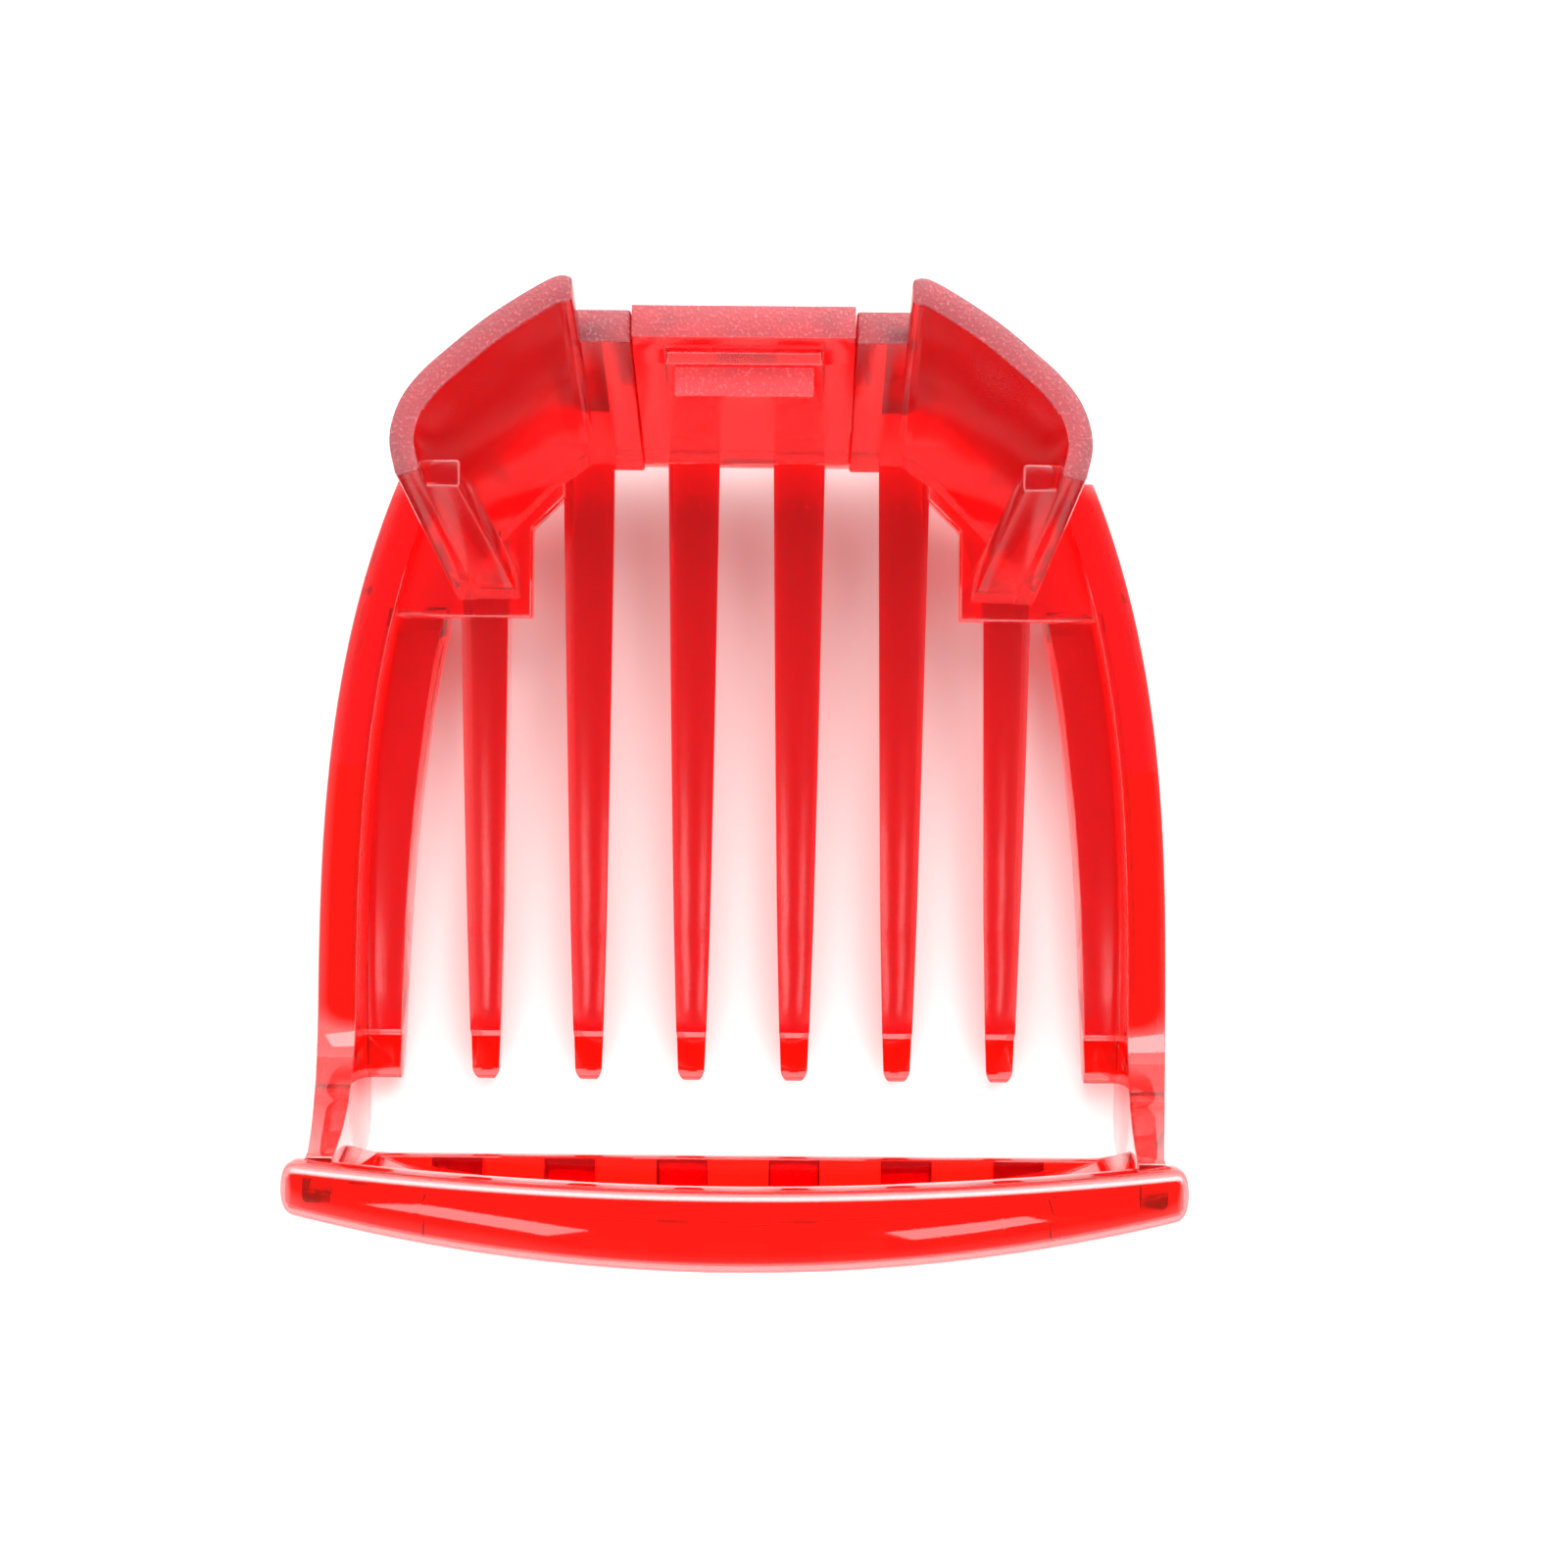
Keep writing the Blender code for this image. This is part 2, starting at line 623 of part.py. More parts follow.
def add_arms():
    """The arm at each front corner that carries the hoop and the lip."""
    end_y = lip_outer_y(SIDE - LIP_INSET)
    head_y = end_y + LIP_END_DEPTH
    stations = (
        (ARM_FOOT, ARM_START, end_y + 0.7 * MM),
        (ARM_FOOT + 1.4 * MM, ARM_START, end_y + 0.1 * MM),
        (SIDE_WALL_TOP, ARM_START, end_y),
        (SIDE_WALL_TOP + 0.7 * MM, ARM_START - 1.1 * MM, end_y),
        (SIDE_WALL_TOP + 2.6 * MM, ARM_START - 2.2 * MM, end_y + 0.05 * MM),
        (HOOP_BOTTOM, head_y + 1.2 * MM, end_y + 0.1 * MM),
        (between(HOOP_BOTTOM, HOOP_TOP, 0.45), head_y + 0.5 * MM, end_y + 0.2 * MM),
        (HOOP_TOP, head_y, end_y + 0.3 * MM),
    )
    for name, sign in (("left", -1), ("right", 1)):
        rings = []
        for z, back, front in stations:
            outer = arm_outer_x(z)
            inner = outer - arm_wall(z)
            ring = ((inner, back), (outer, back), (outer, front), (inner, front))
            rings.append([(sign * x, y, z) for x, y in ring])
        add_part(f"front_arm_{name}", loft_mesh("arm", rings), RED)


def hoop_wall_y(x):
    """Inner face of the hoop's wall across the comb: furthest under the lip in the middle."""
    share = (x / (SIDE - LIP_INSET)) ** 2
    return lip_inner_y(x) - between(HOOP_TUCK, HOOP_END_TUCK, share)


def add_hoop():
    """The front hoop: a wall bowed like the lip, with a straight-edged ledge at its foot."""
    steps = 14
    rings = []
    ledge_top = HOOP_BOTTOM + LEDGE_THICKNESS
    for i in range(steps + 1):
        share = 2 * i / steps - 1
        foot_x, ledge_x, head_x = (
            share * (arm_outer_x(z) - arm_wall(z) - GAP) for z in (HOOP_BOTTOM, ledge_top, HOOP_TOP)
        )
        foot_wall_y, head_wall_y = hoop_wall_y(foot_x), hoop_wall_y(head_x)
        rings.append(
            [
                (foot_x, LEDGE_Y, HOOP_BOTTOM),
                (ledge_x, LEDGE_Y, ledge_top),
                (ledge_x, foot_wall_y, ledge_top),
                (head_x, head_wall_y, HOOP_TOP),
                (head_x, head_wall_y - HOOP_WALL, HOOP_TOP),
                (foot_x, foot_wall_y - HOOP_WALL, HOOP_BOTTOM),
            ]
        )
    add_part("front_hoop", loft_mesh("hoop", rings), RED)


def add_lip():
    """The bowed finger lip on top of the hoop and the arms."""
    half = SIDE - LIP_INSET
    steps = 16
    run = [between(-half + LIP_END_RADIUS, half - LIP_END_RADIUS, i / steps) for i in range(steps + 1)]
    radius = LIP_END_RADIUS
    outline = [(x, lip_outer_y(x)) for x in run]
    front, back = lip_outer_y(half), lip_outer_y(half) + LIP_END_DEPTH
    outline += arc((half - radius, front + radius), (radius, radius), -70, 0, 4)
    outline += arc((half - radius, back - radius), (radius, radius), 0, 70, 4)
    outline += [(x, lip_inner_y(x)) for x in reversed(run)]
    outline += arc((-half + radius, back - radius), (radius, radius), 110, 180, 4)
    outline += arc((-half + radius, front + radius), (radius, radius), 180, 250, 4)
    lip = add_part("finger_lip", slab_mesh("lip", outline, LIP_THICKNESS), RED, radius=0.4 * MM)
    lip.location.z = HEIGHT - LIP_THICKNESS / 2


def add_hoop_ribs():
    """The tapered ribs that brace the ledge and the lip, in line with the teeth."""
    under = HOOP_BOTTOM - GAP
    toe_y = LEDGE_Y - GAP
    for index in range(FREE_TEETH):
        x = (index - (FREE_TEETH - 1) / 2) * PITCH
        reach = abs(x) - HOOP_RIB_WIDTH / 2
        back = hoop_wall_y(reach) - HOOP_WALL - GAP
        outline = [
            (toe_y, under),
            (back, under),
            (back, HOOP_TOP),
            (lip_outer_y(x) + HOOP_RIB_INSET, HOOP_TOP),
            (back - GAP, HOOP_BOTTOM - HOOP_RIB_DROP),
            (toe_y, under - HOOP_RIB_TOE),
        ]
        mesh = slab_mesh("hoop rib", outline, MM)
        stand_up(mesh, lambda y, z, side: side * HOOP_RIB_WIDTH / 2)
        rib = add_part(f"hoop_rib_{index + 1}", mesh, RED)
        rib.location.x = x


def add_pips():
    """A small round stud under the lip near each end."""
    for name, sign in (("left", -1), ("right", 1)):
        x = PIP_PLACE
        shape = bmesh.new()
        bmesh.ops.create_uvsphere(shape, u_segments=16, v_segments=10, radius=PIP_RADIUS)
        bmesh.ops.recalc_face_normals(shape, faces=shape.faces)
        mesh = bpy.data.meshes.new("pip")
        shape.to_mesh(mesh)
        shape.free()
        mesh.shade_smooth()
        pip = add_part(f"lip_pip_{name}", mesh, RED, radius=0.0)
        pip.location = (sign * x, lip_outer_y(x) + PIP_RADIUS / 3, LIP_BOTTOM - PIP_RADIUS - GAP / 2)


clear_scene()
PARTS = new_collection("guide_comb")
CUTTERS = new_collection("cutters")
add_teeth()
add_floor()
add_side_walls()
add_flanks()
add_latch()
add_wings()
add_arms()
add_hoop()
add_lip()
add_hoop_ribs()
add_pips()
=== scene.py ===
"""The looks of a clear red clip-on guide comb for a hair clipper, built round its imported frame.

The comb is one moulding, so its regions are shaped one by one, each a little into the next, and
then fused into one clear body. The sprung latch tongue is a second body, slit free of the first.
The comb lies on its teeth: x runs across it, y from the finger lip to the rear, and z up.
All lengths are in metres; MM turns millimetres into metres.
"""

from __future__ import annotations

import json
import logging
from dataclasses import dataclass
from enum import Enum
from math import cos, radians, sin
from typing import Callable, Sequence

import bmesh
import bpy
import numpy as np
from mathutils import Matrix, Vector

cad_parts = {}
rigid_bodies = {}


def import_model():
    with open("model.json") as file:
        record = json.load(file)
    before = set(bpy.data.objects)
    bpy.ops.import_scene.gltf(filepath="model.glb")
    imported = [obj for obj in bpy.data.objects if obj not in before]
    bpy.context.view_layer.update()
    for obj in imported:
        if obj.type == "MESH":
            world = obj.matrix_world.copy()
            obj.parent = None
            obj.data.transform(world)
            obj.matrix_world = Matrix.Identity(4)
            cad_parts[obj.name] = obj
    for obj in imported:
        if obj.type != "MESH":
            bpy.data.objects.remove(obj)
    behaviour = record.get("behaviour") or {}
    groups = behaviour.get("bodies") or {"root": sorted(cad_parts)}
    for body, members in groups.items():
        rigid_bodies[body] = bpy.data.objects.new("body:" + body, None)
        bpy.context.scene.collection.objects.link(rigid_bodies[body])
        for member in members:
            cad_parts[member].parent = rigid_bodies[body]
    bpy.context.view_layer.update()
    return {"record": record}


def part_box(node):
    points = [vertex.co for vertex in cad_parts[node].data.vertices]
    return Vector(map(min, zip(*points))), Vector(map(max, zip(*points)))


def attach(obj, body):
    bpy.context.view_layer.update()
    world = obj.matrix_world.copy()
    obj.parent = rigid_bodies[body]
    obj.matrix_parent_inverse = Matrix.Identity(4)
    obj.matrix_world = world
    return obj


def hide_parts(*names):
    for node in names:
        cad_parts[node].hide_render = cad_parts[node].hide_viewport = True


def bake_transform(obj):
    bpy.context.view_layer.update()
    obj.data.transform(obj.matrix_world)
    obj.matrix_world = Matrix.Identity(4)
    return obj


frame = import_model()

MM = 0.001
LOG = logging.getLogger("guide_comb")
Point2 = tuple[float, float]
Point3 = tuple[float, float, float]
Path = list[Point2]
Place = Callable[[float, float, int], float]
Mesh = bpy.types.Mesh
Solid = bpy.types.Object
Solids = list[Solid]
Socket = bpy.types.NodeSocket


class Surface(Enum):
    """The finishes, as values of a body's "finish" attribute.

    EDGE is the lip's rounded edge, SATIN the teeth's backs and the rear, and ROUGH the
    spark-eroded rims. The painted shade is a darker tint on the ledge over each hoop rib, which
    stands in for the shade of the rib below.
    """

    POLISHED = 0.0
    EDGE = 0.25
    SATIN = 0.5
    ETCHED = 0.75
    ROUGH = 1.0


# ---- Node trees ----


@dataclass
class Wiring:
    """Adds nodes to a tree, and sets or links their inputs."""

    tree: bpy.types.NodeTree

    def add(self, kind: str, values: dict[str | int, object] | None = None) -> bpy.types.Node:
        """Adds one node.

        Args:
            kind: The node's type.
            values: What each input gets, by name or by number: a value, or a socket to link.

        Returns:
            The node.
        """
        node = self.tree.nodes.new(kind)
        self.feed(node, values or {})
        return node

    def feed(self, node: bpy.types.Node, values: dict[str | int, object]) -> None:
        """Sets or links some of a node's inputs."""
        for key, value in values.items():
            if isinstance(value, Socket):
                self.tree.links.new(value, node.inputs[key])
            else:
                node.inputs[key].default_value = value

    def maths(self, operation: str, first: object, second: object) -> Socket:
        """The result of a sum of two numbers or sockets."""
        node = self.add("ShaderNodeMath", {0: first, 1: second})
        node.operation = operation
        return node.outputs["Value"]

    def vector(self, x: object, y: object, z: object) -> Socket:
        """A vector from three numbers or sockets."""
        return self.add("ShaderNodeCombineXYZ", {0: x, 1: y, 2: z}).outputs["Vector"]


# ---- Shaping tools ----


def between(start: float, end: float, share: float) -> float:
    """The value a share of the way from one value to another, held to the two ends."""
    return start + (end - start) * min(max(share, 0.0), 1.0)


def arc(centre: Point2, radii: Point2, start: float, end: float, steps: int = 8) -> Path:
    """Points on an elliptical arc from one angle to another, in degrees, ends included."""
    angles = [radians(start + (end - start) * i / steps) for i in range(steps + 1)]
    return [(centre[0] + radii[0] * cos(a), centre[1] + radii[1] * sin(a)) for a in angles]


def smooth_path(points: Path, steps: int = 5) -> Path:
    """A smooth curve through points.

    Args:
        points: The points that the curve passes through.
        steps: How many stretches lie between one point and the next.

    Returns:
        The curve's points.
    """
    knots = np.array(points, float)
    padded = np.vstack([2 * knots[0] - knots[1], knots, 2 * knots[-1] - knots[-2]])
    curve = []
    for i in range(1, len(padded) - 2):
        p0, p1, p2, p3 = padded[i - 1 : i + 3]
        for j in range(steps):
            t = j / steps
            square = (2 * p0 - 5 * p1 + 4 * p2 - p3) * t**2
            cube = (3 * p1 - p0 - 3 * p2 + p3) * t**3
            curve.append(0.5 * (2 * p1 + (p2 - p0) * t + square + cube))
    curve.append(padded[-2])
    return [tuple(float(c) for c in point) for point in curve]


def near(anchor: Point2, *steps: Point2) -> Path:
    """Points at some steps from an anchor; the steps are in millimetres."""
    return [(anchor[0] + a * MM, anchor[1] + b * MM) for a, b in steps]


def across(places: Sequence[float], outline: Sequence[Point2]) -> list[list[Point3]]:
    """Rings with the same (y, z) outline at some places across the comb."""
    return [[(x, y, z) for y, z in outline] for x in places]


def offset_path(path: Sequence[Point2], distance: float) -> Path:
    """A plan path moved sideways, to the left of its own direction.

    Args:
        path: The path's points.
        distance: How far it moves.

    Returns:
        The moved points, as many as there were.
    """
    moved = []
    for i, (x, y) in enumerate(path):
        before = Vector(path[max(i - 1, 0)])
        after = Vector(path[min(i + 1, len(path) - 1)])
        along = (after - before).normalized()
        moved.append((x - along.y * distance, y + along.x * distance))
    return moved


def to_mesh(name: str, shape: bmesh.types.BMesh) -> Mesh:
    """Turns a shape into a mesh with its faces outwards, and frees it."""
    bmesh.ops.remove_doubles(shape, verts=shape.verts, dist=0.0005 * MM)
    bmesh.ops.recalc_face_normals(shape, faces=shape.faces)
    mesh = bpy.data.meshes.new(name)
    shape.to_mesh(mesh)
    shape.free()
    return mesh


def loft(name: str, rings: Sequence[Sequence[Point3]]) -> Mesh:
    """A closed solid through rings of corner points, with flat ends.

    Args:
        name: Name for the mesh.
        rings: Rings with the same number of corners, in order.

    Returns:
        The solid's mesh.
    """
    shape = bmesh.new()
    loops = [[shape.verts.new(point) for point in ring] for ring in rings]
    for first, second in zip(loops, loops[1:]):
        for i in range(len(first)):
            j = (i + 1) % len(first)
            shape.faces.new((first[i], first[j], second[j], second[i]))
    shape.faces.new(loops[0])
    shape.faces.new(loops[-1])
    return to_mesh(name, shape)


def slab(
    name: str,
    outline: Sequence[Point2],
    place: Place,
    y_cuts: Sequence[float] = (),
    z_cuts: Sequence[float] = (),
) -> Mesh:
    """A solid with a side-view outline, whose two sides lie where a rule puts them.

    Args:
        name: Name for the mesh.
        outline: The outline's corners, as (y, z).
        place: Gives x for a (y, z, side), where side is -1 or 1.
        y_cuts: Places along y where the sides get a line of points, so that they can curve.
        z_cuts: The same along z.

    Returns:
        The solid's mesh.
    """
    shape = bmesh.new()
    first = shape.faces.new([shape.verts.new((-1.0, y, z)) for y, z in outline])
    grown = bmesh.ops.extrude_face_region(shape, geom=[first])["geom"]
    for vert in (g for g in grown if isinstance(g, bmesh.types.BMVert)):
        vert.co.x = 1.0
    bmesh.ops.triangulate(shape, faces=[f for f in shape.faces if len(f.verts) > 4])
    for axis, cuts in ((1, y_cuts), (2, z_cuts)):
        for cut in cuts:
            point = [0.0, 0.0, 0.0]
            normal = [0.0, 0.0, 0.0]
            point[axis], normal[axis] = cut, 1.0
            everything = [*shape.verts, *shape.edges, *shape.faces]
            bmesh.ops.bisect_plane(
                shape, geom=everything, plane_co=point, plane_no=normal, dist=0.001 * MM
            )
    for vert in shape.verts:
        vert.co.x = place(vert.co.y, vert.co.z, 1 if vert.co.x > 0 else -1)
    return to_mesh(name, shape)


def placed(mesh: Mesh) -> Solid:
    """A new object with this mesh and its name, in the scene."""
    obj = bpy.data.objects.new(mesh.name, mesh)
    bpy.context.scene.collection.objects.link(obj)
    return obj


def flat_sides(middle: float, width: float) -> Place:
    """The rule for a slab with upright, parallel sides."""
    return lambda y, z, side: middle + side * width / 2


def solid(mesh: Mesh, edge: float = 0.15 * MM, segments: int = 3) -> Solid:
    """A working solid with rounded edges, ready to be fused.

    Args:
        mesh: The solid's mesh.
        edge: Radius of its edges.
        segments: Facets across each rounded edge.

    Returns:
        A new object, in the scene.
    """
    raw = placed(mesh)
    rounding = raw.modifiers.new("rounded edges", "BEVEL")
    rounding.width = edge
    rounding.segments = segments
    rounding.limit_method = "ANGLE"
    rounding.angle_limit = radians(32)
    return settled(raw)


def settled(obj: Solid) -> Solid:
    """Replaces an object's mesh with the result of its modifiers, and removes them."""
    bpy.context.view_layer.update()
    made = bpy.data.meshes.new_from_object(
        obj.evaluated_get(bpy.context.evaluated_depsgraph_get())
    )
    obj.modifiers.clear()
    old = obj.data
    obj.data = made
    if old.users == 0:
        bpy.data.meshes.remove(old)
    return obj


def mirrored(mesh: Mesh) -> Mesh:
    """A copy of a mesh on the other side of the comb's middle plane, faces still outwards."""
    shape = bmesh.new()
    shape.from_mesh(mesh)
    for vert in shape.verts:
        vert.co.x = -vert.co.x
    bmesh.ops.reverse_faces(shape, faces=shape.faces)
    other = bpy.data.meshes.new(mesh.name)
    shape.to_mesh(other)
    shape.free()
    return other


def both_sides(mesh: Mesh, edge: float = 0.15 * MM, segments: int = 3) -> Solids:
    """A working solid for the right side, with rounded edges, and its mirror image."""
    left = mirrored(mesh)
    return [solid(mesh, edge, segments), solid(left, edge, segments)]


def row(
    unit: Solid,
    plastic: bpy.types.Material,
    count: int,
    pitch: float,
    row_y: float = 0.0,
    slimming: float = 0.0,
) -> Solid:
    """Repeats a working solid in a row across the comb, centred on its middle plane.

    Args:
        unit: The solid, shaped round the row's line at x = 0, y = 0.
        plastic: The material that its copies carry.
        count: How many copies.
        pitch: Their distance.
        row_y: Where the row lies along y.
        slimming: Loss of depth along y by the distance from the middle, squared.

    Returns:
        The unit, now holding the whole row.
    """
    tree = bpy.data.node_groups.new(unit.name + " row", "GeometryNodeTree")
    sockets = tree.interface
    sockets.new_socket(name="Geometry", in_out="INPUT", socket_type="NodeSocketGeometry")
    sockets.new_socket(name="Geometry", in_out="OUTPUT", socket_type="NodeSocketGeometry")
    values = {"Count": count, "Pitch": pitch, "Row Y": row_y, "Slimming": slimming}
    keys = {}
    for label, value in values.items():
        kind = "NodeSocketInt" if isinstance(value, int) else "NodeSocketFloat"
        keys[label] = sockets.new_socket(name=label, in_out="INPUT", socket_type=kind).identifier
    wiring = Wiring(tree)
    given = wiring.add("NodeGroupInput").outputs
    reach = wiring.maths("MULTIPLY", wiring.maths("SUBTRACT", given["Count"], 1.0), given["Pitch"])
    start = wiring.vector(wiring.maths("MULTIPLY", reach, -0.5), given["Row Y"], 0.0)
    step = wiring.vector(given["Pitch"], 0.0, 0.0)
    line = wiring.add(
        "GeometryNodeMeshLine", {"Count": given["Count"], "Start Location": start, "Offset": step}
    )
    where = wiring.add("GeometryNodeInputPosition").outputs["Position"]
    x = wiring.add("ShaderNodeSeparateXYZ", {"Vector": where}).outputs["X"]
    loss = wiring.maths("MULTIPLY", wiring.maths("MULTIPLY", x, x), given["Slimming"])
    scale = wiring.vector(1.0, wiring.maths("SUBTRACT", 1.0, loss), 1.0)
    copies = wiring.add(
        "GeometryNodeInstanceOnPoints",
        {"Points": line.outputs["Mesh"], "Instance": given["Geometry"], "Scale": scale},
    )
    real = wiring.add("GeometryNodeRealizeInstances", {"Geometry": copies.outputs["Instances"]})
    clad = wiring.add(
        "GeometryNodeSetMaterial", {"Geometry": real.outputs["Geometry"], "Material": plastic}
    )
    wiring.add("NodeGroupOutput", {"Geometry": clad.outputs["Geometry"]})
    repeat = unit.modifiers.new("row", "NODES")
    repeat.node_group = tree
    for label, value in values.items():
        repeat[keys[label]] = value
    return settled(unit)


def fuse(name: str, solids: Sequence[Solid]) -> Solid:
    """Joins overlapping solids into one closed body.

    Args:
        name: Name for the body.
        solids: The solids, which are used up.

    Returns:
        The body, as a plain mesh object.
    """
    body = solids[0]
    others = bpy.data.collections.new(name + " operands")
    bpy.context.scene.collection.children.link(others)
    for other in solids[1:]:
        bpy.context.scene.collection.objects.unlink(other)
        others.objects.link(other)
    union = body.modifiers.new("union", "BOOLEAN")
    union.operation = "UNION"
    union.operand_type = "COLLECTION"
    union.collection = others
    union.solver = "MANIFOLD"
    settled(body)
    for other in list(others.objects):
        bpy.data.objects.remove(other, do_unlink=True)
    bpy.data.collections.remove(others)
    body.name = name
    body.data.name = name
    return body


# ---- Sizes that the regions share ----


@dataclass(frozen=True)
class Gauge:
    """Places that every region takes from the frame, and the few sizes that shape them."""

    side: float
    front: float
    rear: float
    height: float
    pitch: float
    tip_y: float
    root_y: float
    bar_back: float
    floor_top: float
    floor_bottom: float
    floor_front: float
    shoulder_rear: float
    wall_top: float
    wall_bottom: float
    rear_rim: float
    tongue_half: float
    flank_inner: float
    fold_x: float
    hoop_bottom: float
    lip_bottom: float
    arm_start: float
    arm_foot: float
    wall: float = 2.0 * MM
    shoulder_draw: float = 4.0 * MM
    shoulder_length: float = 29.3 * MM
    rear_wall: float = 1.5 * MM
    rib_drop: float = 2.0 * MM
    rib_proud: float = 0.85 * MM
    rear_lean: float = 4.4 * MM
    lip_depth: float = 3.8 * MM
    lip_end_depth: float = 2.4 * MM
    lip_bow: float = 2.6 * MM
    lip_inner_bow: float = 1.2 * MM
    lip_inset: float = 1.3 * MM
    arm_lean: float = 2.1 * MM
    arm_head_wall: float = 1.3 * MM

    @classmethod
    def from_frame(cls) -> Gauge:
        """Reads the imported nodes' boxes.

        Returns:
            The gauge that all regions are built to.
        """
        bar, arm, lip = (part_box(name) for name in ("crossbar", "front_arm_right", "finger_lip"))
        names = ("side_wall_right", "rear_flank_right", "wing_right")
        wall, flank, wing = (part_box(name) for name in names)
        left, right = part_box("tooth_4"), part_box("tooth_5")
        return cls(
            side=arm[1].x,
            front=lip[0].y,
            rear=wing[1].y,
            height=lip[1].z,
            pitch=(right[0].x + right[1].x - left[0].x - left[1].x) / 2,
            tip_y=left[0].y,
            root_y=bar[0].y,
            bar_back=bar[1].y,
            floor_top=bar[1].z,
            floor_bottom=bar[0].z,
            floor_front=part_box("corner_floor_right")[0].y,
            shoulder_rear=wall[1].y,
            wall_top=wall[1].z,
            wall_bottom=wall[0].z,
            rear_rim=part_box("latch_tongue")[1].z,
            tongue_half=flank[0].x - 0.04 * MM,
            flank_inner=flank[0].x,
            fold_x=wing[0].x,
            hoop_bottom=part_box("front_hoop")[0].z,
            lip_bottom=lip[0].z,
            arm_start=arm[1].y,
            arm_foot=arm[0].z,
        )

    def side_x(self, y: float) -> float:
        """Outer face of a side wall at a place along the comb."""
        share = (y - self.shoulder_rear + self.shoulder_length) / self.shoulder_length
        return self.side - self.shoulder_draw * max(share, 0.0) ** 3

    def rear_inner_y(self, z: float) -> float:
        """Inner face of the rear wall at a height."""
        rise = self.rear_rim - self.floor_top
        return self.root_y + self.rear_lean * (z - self.floor_top) / rise

    def rear_outer_y(self, z: float) -> float:
        """Outer face of the rear wall at a height."""
        return self.rear_inner_y(z) + self.rear_wall

    def lip_outer_y(self, x: float) -> float:
        """Outer edge of the lip across the comb."""
        return self.front + self.lip_bow * (x / (self.side - self.lip_inset)) ** 2

    def lip_inner_y(self, x: float) -> float:
        """Inner edge of the lip across the comb."""
        bow = self.lip_inner_bow * (x / (self.side - self.lip_inset)) ** 2
        return self.front + self.lip_depth + bow

    def arm_outer_x(self, z: float) -> float:
        """Outer face of an arm at a height: upright at the side wall, then leaning in."""
        share = (z - self.wall_top) / (self.lip_bottom - self.wall_top)
        return self.side - self.arm_lean * between(0, 1, share)

    def arm_wall(self, z: float) -> float:
        """Thickness of an arm at a height."""
        share = (z - self.wall_top) / (self.lip_bottom - self.wall_top)
        return between(self.wall, self.arm_head_wall, share)


# ---- Regions of the moulding ----


